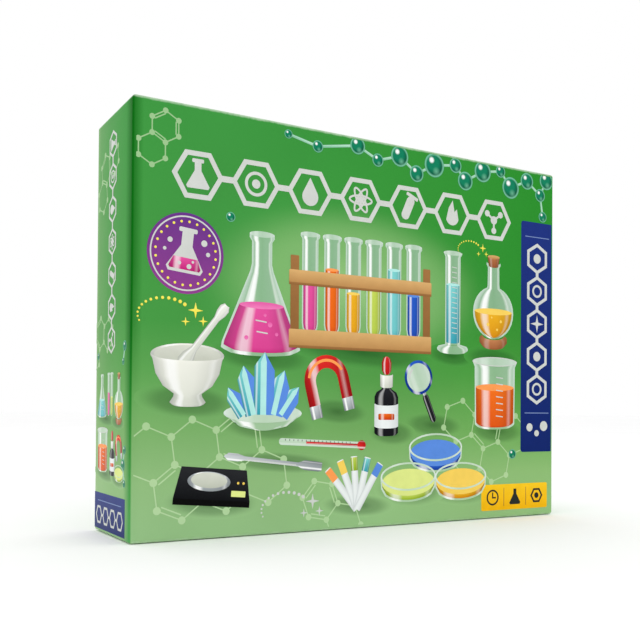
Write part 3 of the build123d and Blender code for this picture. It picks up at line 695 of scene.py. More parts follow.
def strip(finish, a, b, width, layer):
    """A straight bar from one point to another."""
    (x0, y0), (x1, y1) = a, b
    clear()
    bpy.ops.mesh.primitive_plane_add(size=1, location=((x0 + x1) / 2, (y0 + y1) / 2, 0))
    piece = added("strip", finish)
    piece.scale = (width, math.hypot(x1 - x0, y1 - y0), 1)
    piece.rotation_euler.z = math.atan2(y1 - y0, x1 - x0) - math.pi / 2
    return lifted(piece, layer)


def tablet(finish, x, y, width, height, corner, layer, turn=0.0):
    """A bar whose corners are rounded, or square when corner is 0."""
    clear()
    bpy.ops.mesh.primitive_plane_add(size=1, location=(x, y, 0), rotation=(0, 0, math.radians(turn)))
    piece = added("tablet", finish)
    piece.scale = (width, height, 1)
    lifted(piece, layer)
    if corner:
        pick_all(piece)
        bpy.ops.mesh.bevel(offset=corner, segments=5, affect="VERTICES")
        done()
    return piece


def cut_out(finish, points, layer):
    """A flat shape with any outline, given anticlockwise."""
    clear()
    bpy.ops.mesh.primitive_circle_add(vertices=len(points), radius=1, fill_type="NGON")
    piece = added("cut_out", finish)
    mesh = piece.data
    face = mesh.polygons[0]
    xs, ys = zip(*points)
    left, low = min(xs), min(ys)
    width, height = max(xs) - left, max(ys) - low
    for corner, (x, y) in zip(face.loop_indices, points):
        mesh.vertices[mesh.loops[corner].vertex_index].co = (x, y, 0)
        mesh.uv_layers[0].data[corner].uv = ((x - left) / width, (y - low) / height)
    return lifted(piece, layer)


def turned(finish, profile, layer, dip=0.14, across=10):
    """The picture of a turned thing: half widths and heights from its foot up, each row curved as a rim
    that is seen from a little above."""
    rows = len(profile) - 1
    clear()
    bpy.ops.mesh.primitive_grid_add(x_subdivisions=across, y_subdivisions=rows, size=2)
    piece = added("turned", finish)
    for vertex in piece.data.vertices:
        half, high = profile[round((vertex.co.y + 1) / 2 * rows)]
        bow = dip * half * math.sqrt(max(0.0, 1 - vertex.co.x**2))
        vertex.co = (half * vertex.co.x, high - bow, 0)
    return lifted(piece, layer)


def arc(radius, start, stop, steps, x, y):
    """Points along an arc round x, y, in degrees."""
    turns = [math.radians(start + (stop - start) * i / steps) for i in range(steps + 1)]
    return [(x + radius * math.cos(t), y + radius * math.sin(t)) for t in turns]


def motif(parts, x, y, turn=0.0, size=1.0):
    """Puts one picture on the sheet, which turns it from millimetres into metres. Each part lies a trace
    above the one before it, so that parts on one layer never share a plane."""
    for index, part in enumerate(parts):
        shifted(part, (0, 0, PART_SPREAD * index / len(parts) * FILM / MM))
    piece = joined("motif", parts)
    scale = Matrix.Diagonal((size * MM, size * MM, MM, 1))
    piece.data.transform(Matrix.Translation((x * MM, y * MM, 0)) @ turn_by(turn) @ scale)
    return piece


def face_of_case(face):
    """A face's borders on the sheet, across and up, and the rows that lay the sheet on it."""
    low, high = case_box
    base_low, base_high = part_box("base_tray")
    front, back = low.y + MARGIN, high.y - BACK_MARGIN
    width = (low.x + MARGIN, high.x - MARGIN)
    height = (MARGIN, high.z - MARGIN)
    up = (0, 1, 0, 0)
    return {
        "front": (width, height, ((1, 0, 0, 0), (0, 0, -1, low.y + WRAP_INSET), up)),
        "left": ((-back, -front), height, ((0, 0, -1, low.x + WRAP_INSET), (-1, 0, 0, 0), up)),
        "right": ((front, back), height, ((0, 0, 1, high.x - WRAP_INSET), (1, 0, 0, 0), up)),
        "top": (width, (front, back), ((1, 0, 0, 0), up, (0, 0, 1, high.z - WRAP_INSET))),
        "back": (
            (MARGIN - base_high.x, -MARGIN - base_low.x), (base_low.z + MARGIN, base_high.z - MARGIN),
            ((-1, 0, 0, 0), (0, 0, 1, base_high.y - BASE_INSET), up),
        ),
    }[face]


def lay_on(face, name, *parts):
    """Joins pictures to one printed piece, trims it at the folds and lays it on a face of the case. Each
    picture lies a trace above the one before it."""
    for index, part in enumerate(parts):
        shifted(part, (0, 0, PICTURE_STEP * index * FILM))
    piece = joined(name, parts)
    across, upwards, turn = face_of_case(face)
    for along, (least, most) in ((Vector((1, 0, 0)), across), (Vector((0, 1, 0)), upwards)):
        for border, outer in ((least, False), (most, True)):
            pick_all(piece)
            bpy.ops.mesh.bisect(
                plane_co=along * border, plane_no=along, clear_outer=outer, clear_inner=not outer
            )
            done()
    with_modifier(piece, "SOLIDIFY", thickness=FILM * INK_SHARE, offset=-1.0)
    piece.data.transform(Matrix((*turn, (0, 0, 0, 1))))
    body = "base" if face == "back" else "lid"
    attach(piece, body)


# ---------------------------------------------------------------- pictures of laboratory things
def conical_flask(liquid, surface):
    return [
        turned(GLASS, [(22, 0), (23.5, 1), (23, 4), (7, 42), (6, 46), (6, 58), (7.4, 60), (7.4, 62)], 2),
        turned(liquid, [(20.5, 1.6), (22, 2.4), (21.6, 4.6), (13.2, 24)], 3),
        disc(surface, 0, 24, 13.2, 4, squash=0.14),
        disc(MOUTH, 0, 62, 7.4, 3, squash=0.22),
        *[strip(WHITE, (-3 - h / 9, 10 + h), (3.6 - h / 9, 9.2 + h), 0.7, 5) for h in (0, 6)],
        *discs(surface, 5, 14, [(5, 14, 1.4), (9, 9, 1.0), (-9, 6.5, 1.2), (2, 19, 0.9)]),
    ]


def round_flask(liquid, surface):
    turns = [math.radians(a) for a in range(6, 163, 12)]
    ball = [(22 * math.sin(t), 22 - 22 * math.cos(t)) for t in turns]
    filled = [(radius - 1.6, height + 0.9) for radius, height in ball if height < 24]
    neck = [(6.4, 46), (6.2, 60), (7.6, 62), (7.6, 64)]
    return [
        turned(CORK, [(13, -5), (15, -3), (15, 1), (12.5, 3)], 2, 0.3),
        turned(GLASS, ball + neck, 3),
        turned(liquid, filled, 4, 0.1),
        disc(surface, 0, filled[-1][1], filled[-1][0], 5, squash=0.13),
        turned(CORK, [(5, 61), (6.4, 68), (6.6, 69)], 4, 0.2),
        disc(WOOD, 0, 69, 6.6, 5, squash=0.22),
        *discs(surface, 6, 14, [(-6, 12, 1.5), (4, 8, 1.1), (8, 15, 1.3), (-2, 18, 0.9)]),
    ]


def glass_beaker(liquid, surface):
    marks = [strip(WHITE, (1, h), (8 if h % 10 else 12, h - 0.7), 0.8, 5) for h in range(8, 40, 5)]
    return [
        turned(GLASS, [(18, 0), (20, 1.6), (20.4, 46), (22.6, 50)], 2),
        turned(liquid, [(17, 1.4), (18.8, 2.8), (19.2, 30)], 3),
        disc(surface, 0, 30, 19.2, 4, squash=0.14),
        disc(MOUTH, 0, 50, 22.6, 3, squash=0.16),
        ring(WHITE, 0, 50, 22.6, 0.7, 4, squash=0.16),
        *marks,
    ]


def measuring_cylinder(liquid, surface):
    marks = [strip(WHITE, (-1, h), (4 if h % 4 else 6, h - 0.5), 0.6, 5) for h in range(14, 70, 4)]
    return [
        turned(GLASS, [(15, 0), (15.5, 1.5), (14, 3.4), (6.5, 5)], 2, 0.2),
        turned(GLASS, [(7.4, 5), (7.6, 74), (9.4, 77)], 3),
        turned(liquid, [(6.4, 6.4), (6.6, 52)], 4),
        disc(surface, 0, 52, 6.6, 5, squash=0.16),
        disc(MOUTH, 0, 77, 9.4, 4, squash=0.2),
        *marks,
    ]


def test_tube_picture(liquid, surface, level):
    return [
        turned(GLASS, [(1, 0), (3.8, 1.2), (5.2, 3.6), (5.8, 7), (5.8, 60), (7, 61.5), (7, 63)], 2, 0.2, 8),
        turned(liquid, [(0.8, 0.9), (3, 2), (4.4, 4.2), (4.9, 7), (4.9, level)], 3, 0.2, 8),
        disc(surface, 0, level, 4.9, 4, 0.2, 20),
        disc(MOUTH, 0, 63, 7, 3, 0.24, 20),
    ]


def tube_rack():
    """A wooden rack of six tubes."""
    parts = []
    for i, (liquid, surface, level) in enumerate((
        (MAGENTA, MAGENTA_TOP, 34), (RED_LIQUID, RED_TOP, 42), (AMBER, AMBER_TOP, 28),
        (LIME, LIME_TOP, 38), (AQUA, AQUA_TOP, 46), (BLUE, BLUE_TOP, 30),
    )):
        parts += [shifted(piece, (-40 + 16 * i, 7, 0)) for piece in test_tube_picture(liquid, surface, level)]
    parts += [tablet(WOOD_DARK, x, 28, 6, 56, 0.6, 4) for x in (-51, 51)]
    return parts + [
        tablet(WOOD, 0, 43, 110, 8, 0.8, 5), tablet(WOOD_DARK, 0, 38.4, 110, 1.6, 0, 5),
        tablet(WOOD, 0, 5, 110, 10, 0.8, 5), tablet(WOOD_DARK, 0, -0.8, 110, 1.8, 0, 5),
    ]


def mortar_and_pestle():
    bowl = [(11, 0), (12.5, 1.5), (10, 5), (9.6, 7), (17, 12), (22, 20), (24, 29), (25.5, 32)]
    stick = [(3.6, -6), (5, -3), (4.6, 2), (2.4, 8), (2.2, 34), (3.6, 39), (3.8, 43), (2, 46)]
    pestle = turned(CERAMIC, stick, 5, 0.2, 8)
    pestle.data.transform(Matrix.Translation((-1, 30, 0)) @ turn_by(-38))
    return [
        turned(CERAMIC, bowl, 6), disc(CERAMIC, 0, 32, 25.5, 3, 0.3), disc(CERAMIC_IN, 0, 32, 23, 4, 0.28),
        pestle,
    ]


def magnifier():
    return [
        turned(BLACK, [(2.6, 0), (4.2, 3), (4.4, 30), (3.2, 34)], 3, 0.3, 8),
        turned(STEEL, [(2.6, 34), (2.6, 39)], 3, 0.3, 8),
        ring(BLUE, 0, 56, 20, 3.2, 4),
        disc(MOUTH, 0, 56, 17.6, 3),
        cut_out(WHITE, arc(14, 110, 160, 8, 0, 56) + arc(11.6, 160, 110, 8, 0, 56), 4),
    ]


def horseshoe_magnet():
    outline = arc(18, 0, 180, 16, 0, 24) + [(-18, 9), (-9, 9)] + arc(9, 180, 0, 12, 0, 24) + [(9, 9), (18, 9)]
    shine = arc(15.4, 20, 160, 14, 0, 24) + arc(13.4, 160, 20, 14, 0, 24)
    tips = [tablet(STEEL, x, 4.6, 9, 9, 0, 2) for x in (-13.5, 13.5)]
    return [cut_out(RED, outline, 2), cut_out(RED_TOP, shine, 3), *tips]


def crystal_cluster(light, middle, deep):
    """Crystals that stand in a fan, each with three faces."""
    parts = []
    for x, turn, tall, wide in (
        (-13, 34, 20, 5), (12, -36, 22, 5.4), (-6.5, 14, 31, 6), (7, -15, 29, 6.2), (0, -1, 39, 7),
    ):
        shoulder = tall - wide * 0.9
        crystal = [
            cut_out(middle, [
                (0, 0), (0, tall), (-wide * 0.5, tall - wide * 0.6), (-wide, tall - wide * 1.3), (-wide, 0),
            ], 3),
            cut_out(deep, [(0, 0), (wide, 0), (wide, tall - wide * 1.6), (0, tall)], 3),
            cut_out(light, [
                (-wide * 0.34, 0), (wide * 0.24, 0), (wide * 0.2, shoulder), (0, tall),
                (-wide * 0.4, shoulder),
            ], 4),
        ]
        move = Matrix.Translation((x, 3, 0.01 * len(parts) * FILM / MM)) @ turn_by(turn)
        for piece in crystal:
            piece.data.transform(move)
        parts += crystal
    return parts


def watch_glass(heap):
    dish = turned(GLASS, [(8, -5), (20, -1.5), (27, 4)], 5, 0.22)
    return [*heap, dish, disc(MOUTH, 0, 4, 27, 2, 0.22)]


def dropper_bottle():
    return [
        turned(BLACK, [(11, 0), (12.5, 1.4), (12.5, 33), (10.5, 37), (5, 40), (5, 43)], 2),
        turned(LABEL, [(12.6, 7), (12.6, 27)], 3),
        turned(CERAMIC, [(6.6, 42), (6.8, 53)], 3, 0.2),
        turned(RED, [(3, 53), (4.8, 56), (5, 63), (3.4, 67), (1, 68.4)], 4, 0.2, 8),
        tablet(RED_LIQUID, 0, 15.5, 17, 5.4, 1.2, 4),
    ]


def petri_dish(liquid, surface):
    return [
        turned(GLASS, [(23, 0), (23.6, 8)], 2, 0.42, 14),
        turned(liquid, [(22, 1), (22.4, 4)], 3, 0.42, 14),
        disc(surface, 0, 4, 22.4, 4, 0.42),
        ring(MOUTH, 0, 8, 23.6, 1.3, 5, squash=0.42),
    ]


def litmus_fan():
    """Indicator strips, fanned, each with its patch of colour."""
    parts = []
    for i, finish in enumerate((RED_TOP, AMBER_TOP, LIME, AQUA, BLUE_TOP)):
        layer = 2 + i * 0.5
        for piece in (tablet(LABEL, 0, 24, 7, 48, 0.8, layer), tablet(finish, 0, 41, 7, 12, 0, layer + 0.3)):
            piece.data.transform(turn_by(36 - 18 * i))
            parts.append(piece)
    return parts


def thermometer():
    return [
        tablet(MOUTH, 0, 46, 5.6, 84, 2.6, 2),
        disc(RED, 0, 6, 4.4, 4, sides=20),
        turned(RED, [(1.1, 6), (1.1, 62)], 3, 0.1, 4),
        *[strip(DARK, (0.8, h), (2.4, h), 0.5, 3) for h in range(18, 84, 4)],
    ]


def spatula():
    right = [(3.4, 0), (4, 3), (4, 16), (1.6, 22), (1.6, 70), (3, 76), (3, 84)]
    left = [(-x, y) for x, y in reversed(right[1:])]
    blade = cut_out(STEEL, [(-3.4, 0), *right, (0, 88), *left], 2)
    return [blade, strip(WHITE, (-0.6, 24), (-0.6, 68), 0.7, 3)]


def kitchen_scale():
    """A flat dark balance with a steel pan and a small display."""
    return [
        cut_out(SLATE, [(-34, 0), (34, 0), (29, 26), (-29, 26)], 2),
        cut_out(NEAR_BLACK, [(-34, -5), (34, -5), (34, 0), (-34, 0)], 2),
        disc(STEEL, -4, 15, 19, 3, 0.42),
        disc(CERAMIC_IN, -4, 16, 16, 4, 0.4),
        tablet(LIME_TOP, 23, 6, 13, 5, 0.6, 3),
        *discs(AMBER_TOP, 3, 12, [(22, 15, 1.1), (27, 15, 1.1)]),
    ]


def sparkle(finish, x, y, size):
    """A star with four long points."""
    reaches = [size, size * 0.26] * 4
    turns = [math.pi * i / 4 for i in range(8)]
    points = [(reach * math.cos(t), reach * math.sin(t)) for reach, t in zip(reaches, turns)]
    return shifted(cut_out(finish, points, 3), (x, y, 0))


def spot(finish, turn, x, y, wide, high):
    """The soft shadow under a picture, or the glow behind it."""
    piece = disc(finish, 0, 0, 0.5, SHADOW_LAYER, sides=28)
    scale = Matrix.Diagonal((wide * MM, high * MM, MM, 1))
    piece.data.transform(Matrix.Translation((x * MM, y * MM, 0)) @ turn_by(turn) @ scale)
    return piece


def shadows(*places):
    return [spot(SHADOW, -4, *place) for place in places]


# ---------------------------------------------------------------- signs and line art
def honeycomb(cells, pitch, x0, y0, turn, *double):
    """Line art of joined hexagons, with a dot at every corner. The cells named last have double bonds."""
    corners, edges, parts = {}, {}, []
    width = 0.9
    for q, r in cells:
        cx, cy = pitch * math.sqrt(3) * (q + r / 2), pitch * 1.5 * r
        turns = [math.radians(60 * i + 30) for i in range(6)]
        ends = [(cx + pitch * math.cos(t), cy + pitch * math.sin(t)) for t in turns]
        keys = [(round(x, 2), round(y, 2)) for x, y in ends]
        for i in range(6):
            corners[keys[i]] = ends[i]
            edges[frozenset((keys[i], keys[i - 1]))] = (ends[i], ends[i - 1])
            if (q, r) in double and i % 2 == 0:
                inner = [(cx + (x - cx) * 0.8, cy + (y - cy) * 0.8) for x, y in (ends[i], ends[i - 1])]
                parts.append(strip(LINE_ART, *inner, width, LINE_LAYER))
    parts += [strip(LINE_ART, a, b, width, LINE_LAYER) for a, b in edges.values()]
    dot = disc(LINE_ART, 0, 0, 2.0 + 0.09 * (pitch - 11), LINE_LAYER + DOT_RISE, sides=16)
    parts += [copy_of(dot, "dot", Matrix.Translation((x, y, 0))) for x, y in corners.values()]
    drop(dot)
    return motif(parts, x0, y0, turn)


def molecule_balls(places, bonds):
    """Glossy balls of several sizes, and the bars that join them."""
    parts = [strip(BOND, places[a][:2], places[b][:2], 2.1, 2) for a, b in bonds]
    parts += [disc(TEAL_BALL, x, y, radius, 3 + (i % 3) * 0.4) for i, (x, y, radius) in enumerate(places)]
    return motif(parts, 0, 0)


def flask_outline(*right):
    """The outline of a flask from the right half of it, from its foot up."""
    return [(-x, y) for x, y in reversed(right)] + list(right)


def heading(x, y, turn=0.0, size=1.0):
    """A row of white hexagon rings joined by bars, each with a white sign of its own."""
    pitch, reach = 43.0, 18.5
    second, third, fourth, fifth, sixth, last = (i * pitch for i in range(1, 7))
    parts = []
    for i in range(7):
        parts.append(ring(WHITE, i * pitch, 0, reach, 3.4, 3, sides=6, turn=30))
        if i:
            bar = pitch - 2 * reach * 0.866 + 1.5
            parts.append(tablet(WHITE, i * pitch - pitch / 2, 0, bar, 4.2, 0, 3.6))
    flask = flask_outline((7.4, -9), (8.4, -7.4), (2.4, 3), (2.4, 9))
    drop_of_water = arc(6.6, 150, 390, 18, third, -3.2) + [(third, 10.6)]
    parts += [
        cut_out(WHITE, flask, 3), tablet(WHITE, 0, 9.6, 8.4, 2.6, 0.8, 3),
        ring(WHITE, second, 0, 8.6, 2.2, 3), disc(WHITE, second, 0, 3.2, 3),
        cut_out(WHITE, drop_of_water, 3),
    ]
    for tilt in (0, 60, 120):
        orbit = ring(WHITE, 0, 0, 10.5, 1.5, 3 + tilt / 200, squash=0.38, sides=40)
        orbit.data.transform(Matrix.Translation((fourth, 0, 0)) @ turn_by(tilt))
        parts.append(orbit)
    tongues = [(4.6, 4.2), (2.2, 1.8), (0.4, 10.8), (-3.6, 4.6)]
    flame = arc(6.4, 200, 345, 12, sixth, -2.6) + [(sixth + dx, dy) for dx, dy in tongues]
    parts += [
        disc(WHITE, fourth, 0, 2.6, 4),
        tablet(WHITE, fifth, -0.6, 7.4, 19, 3.6, 3, turn=-24),
        tablet(WHITE, fifth + 4, 8.6, 11.6, 2.6, 0.8, 3.2, turn=-24),
        cut_out(WHITE, flame, 3),
    ]
    for dx, dy, radius in ((0, 0, 3.4), (7, 5, 2.6), (-7, 5, 2.6), (0, -8.6, 2.6)):
        parts.append(disc(WHITE, last + dx, dy, radius, 3.7, sides=20))
        if dy:
            parts.append(strip(WHITE, (last, 0), (last + dx, dy), 1.8, 3))
    return motif(parts, x, y, turn, size)


def badge(x, y):
    """A round badge with a white flask and rising bubbles, and a ring of yellow dots."""
    flask = flask_outline((11.4, -13), (13, -10), (4, 5), (4, 15))
    filled = flask_outline((10.4, -11), (11.4, -9.6), (8.6, -3))
    turns = [math.pi * k / 12 for k in range(24)]
    return motif([
        disc(PURPLE, 0, 0, 27, 2, sides=48), ring(WHITE, 0, 0, 25, 1.0, 3, sides=48),
        cut_out(WHITE, flask, 3), tablet(WHITE, 0, 15.5, 13, 3, 1, 4), cut_out(MAGENTA, filled, 4),
        *discs(WHITE, 5, 18, [
            (-4, -7, 1.3), (3, -8.4, 1.7), (5.4, -5, 0.9), (12, 9, 2.2), (15.5, 2, 1.5), (-12, 7, 1.8),
            (-15, 0.6, 1.2),
        ]),
        *discs(YELLOW, 4, 10, [(21.2 * math.cos(t), 21.2 * math.sin(t), 0.9) for t in turns]),
    ], x, y, turn=-6)


def panel(x, y):
    """A tall navy panel with a ladder of white rings, each round a disc, a ring or a star."""
    parts = [tablet(NAVY, 0, 0, 36, 193, 2.4, 2)]
    for i in range(5):
        height = 66 - 27.5 * i
        parts.append(ring(WHITE, 0, height, 13, 2.6, 3, sides=6))
        if i:
            parts.append(tablet(WHITE, 0, height + 13.75, 3, 7.6, 0, 3.2))
        if i % 3 == 0:
            parts.append(disc(WHITE, 0, height, 4.0, 3))
        elif i % 3 == 1:
            parts.append(ring(WHITE, 0, height, 5.4, 1.8, 3))
        else:
            parts.append(sparkle(WHITE, 0, height, 7.4))
    parts += [tablet(NAVY_LINE, 0, height, 27, 0.7, 0, 3) for height in (84, -64)]
    parts += discs(WHITE, 3, 24, [(-8, -76, 3.4), (0, -81, 2.6), (8, -75, 4.2)])
    return motif(parts, x, y)


def number_strip(x, y):
    """A yellow strip with three dark signs."""
    flask = flask_outline((5.2, -6.4), (6, -5), (1.6, 2.4), (1.6, 6.4))
    return motif([
        tablet(ORANGE, 0, 0, 72, 21, 1.6, 2),
        *[tablet(WOOD_DARK, cx, 0, 0.6, 15, 0, 3) for cx in (-12, 12)],
        ring(DARK, -24, 0, 6.4, 1.4, 3), tablet(DARK, -24, 1.8, 1.2, 4.6, 0, 3),
        tablet(DARK, -22.6, -0.2, 4, 1.2, 0, 3.2), cut_out(DARK, flask, 3),
        ring(DARK, 24, 0, 6.8, 1.6, 3, sides=6, turn=30), disc(DARK, 24, 0, 2.4, 3, sides=20),
    ], x, y)


def sparks(x, y, finish, size):
    """A loose flourish: a curved trail of dots that ends in three sparkles."""
    trail = [(math.radians(200 - 13 * i), 0.8 + 0.07 * i) for i in range(13)]
    dots = discs(finish, 3, 12, [(24 * math.cos(t), 15 * math.sin(t), radius) for t, radius in trail])
    stars = [sparkle(finish, *place) for place in ((27, 6, 7), (18, -4, 4), (34, -3, 4.4))]
    return motif(dots + stars, x, y, size=size)


# ---------------------------------------------------------------- the printed sides of the case
def print_front():
    lay_on(
        "front", "print_line_art",
        honeycomb([(0, 0), (1, 0), (0, 1), (1, 1), (2, 0), (-1, 1)], 18.5, -152, 32, 8, (0, 0), (1, 1)),
        honeycomb([(0, 0), (1, 0), (0, 1), (-1, 1), (1, 1)], 16.5, 92, 52, -12, (0, 1)),
        honeycomb([(0, 0), (1, -1)], 15.0, -44, 22, 20, (0, 0)),
        honeycomb([(0, 0), (0, 1)], 10.5, -172, 256, 0, (0, 1)),
    )
    lay_on("front", "print_shadows", spot(GLOW, 0, -15, 178, 260, 130), *shadows(
        (-92, 124, 84, 24), (-8, 130, 140, 24), (75, 131, 50, 18), (118, 130, 62, 20), (122, 71, 62, 22),
        (58, 76, 60, 20), (18, 70, 46, 20), (-30, 86, 56, 20), (-88, 76, 78, 24), (-146, 92, 74, 24),
        (-128, 24, 74, 22), (84, 26, 76, 28), (36, 27, 70, 28), (-12, 17, 66, 18), (-76, 50, 96, 16),
    ))
    lay_on("front", "print_heading", heading(-140, 243))
    lay_on("front", "print_badge", badge(-148, 190))
    lay_on("front", "print_panel", panel(166, 150))
    lay_on("front", "print_number_strip", number_strip(142, 17))
    lay_on(
        "front", "print_sparks",
        sparks(-162, 148, YELLOW, 0.78), sparks(93, 216, YELLOW, 0.5), sparks(-72, 17, WHITE, 0.8),
    )
    balls = [
        (-48, 277, 4.4), (-14, 283, 6.5), (4, 275, 5), (24, 281, 8), (40, 270, 6.5), (57, 279, 9.5),
        (78, 282, 6), (88, 271, 7.5), (106, 281, 8.5), (125, 284, 5), (136, 272, 9), (154, 280, 7),
        (169, 270, 5.5), (176, 283, 7.5), (172, 252, 4.5), (-72, 282, 3.2), (139, 52, 4), (-116, 218, 3.4),
    ]
    chain = [(i, i + 1) for i in range(13)]
    lay_on("front", "print_molecules", molecule_balls(balls, chain + [(12, 14), (15, 0)]))
    lay_on(
        "front", "print_flasks",
        motif(conical_flask(MAGENTA, MAGENTA_TOP), -92, 128, size=1.3),
        motif(round_flask(AMBER, AMBER_TOP), 118, 146, size=0.97),
    )
    lay_on("front", "print_tube_rack", motif(tube_rack(), -8, 133, size=1.14))
    lay_on(
        "front", "print_glassware",
        motif(measuring_cylinder(AQUA, AQUA_TOP), 76, 135),
        motif(glass_beaker(RED_LIQUID, RED_TOP), 120, 75, size=1.05),
        motif(petri_dish(BLUE, BLUE_TOP), 60, 50, size=1.1),
        motif(petri_dish(LIME, LIME_TOP), 34, 28, size=1.1),
        motif(petri_dish(AMBER, AMBER_TOP), 85, 27, size=1.1),
    )
    lay_on(
        "front", "print_tools",
        motif(thermometer(), -4, 61, turn=87, size=0.84),
        motif(spatula(), -43, 46, turn=83, size=0.88),
        motif(magnifier(), 58, 79, turn=24, size=0.66),
        motif(dropper_bottle(), 13, 69, size=0.86),
        motif(horseshoe_magnet(), -33, 84, turn=14, size=1.04),
        motif(mortar_and_pestle(), -146, 90, size=1.02),
        motif(watch_glass(crystal_cluster(AQUA_TOP, AQUA, BLUE_TOP)), -90, 80, size=1.12),
        motif(kitchen_scale(), -128, 26, turn=-5, size=0.82),
        motif(litmus_fan(), -13, 14, turn=4, size=0.82),
    )


def print_left():
    lay_on(
        "left", "left_line_art",
        honeycomb([(0, 0), (0, 1), (1, 1)], 11, -26, 236, 10, (0, 1)),
        honeycomb([(0, 0), (1, 0), (0, -1)], 11, -30, 140, -6, (0, 0)),
    )
    lay_on("left", "left_shadows", *shadows(
        (-14, 80, 44, 10), (12, 78, 30, 10), (-16, 42, 50, 12), (14, 40, 34, 12),
    ))
    lay_on("left", "left_heading", heading(-3, 268, -90, 0.52))
    lay_on(
        "left", "left_pictures",
        motif(conical_flask(AQUA, AQUA_TOP), -24, 82, size=0.46),
        motif(test_tube_picture(MAGENTA, MAGENTA_TOP, 34), -8, 82, size=0.46),
        motif(test_tube_picture(LIME, LIME_TOP, 28), -1, 82, size=0.46),
        motif(round_flask(AMBER, AMBER_TOP), 15, 80, size=0.44),
        motif(glass_beaker(RED_LIQUID, RED_TOP), -22, 44, size=0.56),
        motif(dropper_bottle(), 1, 42, size=0.44),
        motif(petri_dish(LIME, LIME_TOP), 16, 42, size=0.42),
        motif(horseshoe_magnet(), 17, 53, turn=12, size=0.4),
    )
    lay_on("left", "left_molecules", molecule_balls(
        [(27, 128, 3.6), (24, 118, 2.4), (28, 60, 3.0), (25, 50, 4.2), (28, 38, 2.6), (-34, 124, 2.6)],
        [(0, 1), (2, 3), (3, 4)],
    ))
    block = [tablet(NAVY, -5, 14, 70, 28, 0, 2), tablet(NAVY_LINE, -5, 22.5, 54, 0.6, 0, 3)]
    for i in range(4):
        block.append(ring(WHITE, -29 + 16 * i, 12.5, 7.2, 1.6, 3, sides=6, turn=30))
        if i:
            block.append(tablet(WHITE, -37 + 16 * i, 12.5, 4.4, 1.6, 0, 3.4))
    lay_on("left", "left_block", motif(block, 0, 0))


def print_plain_sides():
    lay_on(
        "right", "right_line_art",
        honeycomb([(0, 0), (1, 0), (0, 1)], 13, -18, 34, 12, (0, 0)),
        honeycomb([(0, 0), (0, 1), (-1, 2)], 13, 12, 190, -8, (0, 1)),
    )
    lay_on(
        "top", "top_line_art",
        honeycomb([(0, 0), (1, 0), (2, 0), (1, -1)], 13, -120, 6, 6, (1, 0)),
        honeycomb([(0, 0), (1, 0)], 13, 84, -4, -10, (0, 0)),
    )


def print_back():
    """The back of the base, seen from behind."""
    lay_on(
        "back", "back_line_art",
        honeycomb([(0, 0), (1, 0), (0, 1), (-1, 1)], 18.5, -136, 30, 8, (0, 0), (-1, 1)),
        honeycomb([(0, 0), (1, 0), (0, 1)], 16.5, 98, 46, -12, (0, 1)),
        honeycomb([(0, 0), (1, -1), (1, 0)], 13.0, 126, 254, 14, (0, 0)),
        honeycomb([(0, 0), (0, 1)], 10.5, -160, 246, 0, (0, 1)),
    )
    lay_on("back", "back_shadows", spot(GLOW, 0, 0, 150, 250, 120), *shadows(
        (-94, 92, 78, 22), (2, 98, 132, 22), (98, 92, 64, 22), (-40, 42, 74, 26), (36, 42, 60, 22),
    ))
    lay_on("back", "back_heading", heading(-93, 240, 0, 0.72))
    lay_on(
        "back", "back_pictures",
        motif(tube_rack(), 0, 102, size=1.08),
        motif(conical_flask(AQUA, AQUA_TOP), -94, 96, size=1.12),
        motif(round_flask(LIME, LIME_TOP), 98, 98, size=1.0),
        motif(petri_dish(MAGENTA, MAGENTA_TOP), -42, 44, size=1.2),
        motif(dropper_bottle(), 14, 38, size=0.8),
        motif(horseshoe_magnet(), 54, 36, turn=-12, size=0.9),
    )


print_front()
print_left()
print_plain_sides()
print_back()


# ---------------------------------------------------------------- finishes of the ware
def make_moulded_skin():
    """Moulded plastic or rubber: a faint flow in the colour, a gloss that varies, a fine grain and scuffs."""
    tree, given, result = group(
        "moulded_skin",
        {"Place": "Vector", "Color": "Color", "Gloss": 0.35, "Grain": 0.1},
        {"Color": "Color", "Roughness": "Float", "Normal": "Vector"},
    )
    flow = noise(tree, given["Place"], 60.0, 3.0)
    tree.links.new(toned(tree, given["Color"], ramp(tree, flow, [(0.3, 0.93), (0.7, 1.04)])), result["Color"])
    scuffs = ramp(tree, noise(tree, given["Place"], 420.0, 4.0, 0.7), [(0.56, 0.0), (0.7, 0.16)])
    gloss = sums(tree, "ADD", given["Gloss"], sums(tree, "MULTIPLY_ADD", flow, 0.16, -0.08))
    tree.links.new(sums(tree, "ADD", gloss, scuffs, clamp=True), result["Roughness"])
    height = sums(tree, "MULTIPLY_ADD", flow, 4.0, noise(tree, given["Place"], 1500.0, 2.0))
    tree.links.new(bumped(tree, height, given["Grain"], 0.0002), result["Normal"])
    return tree


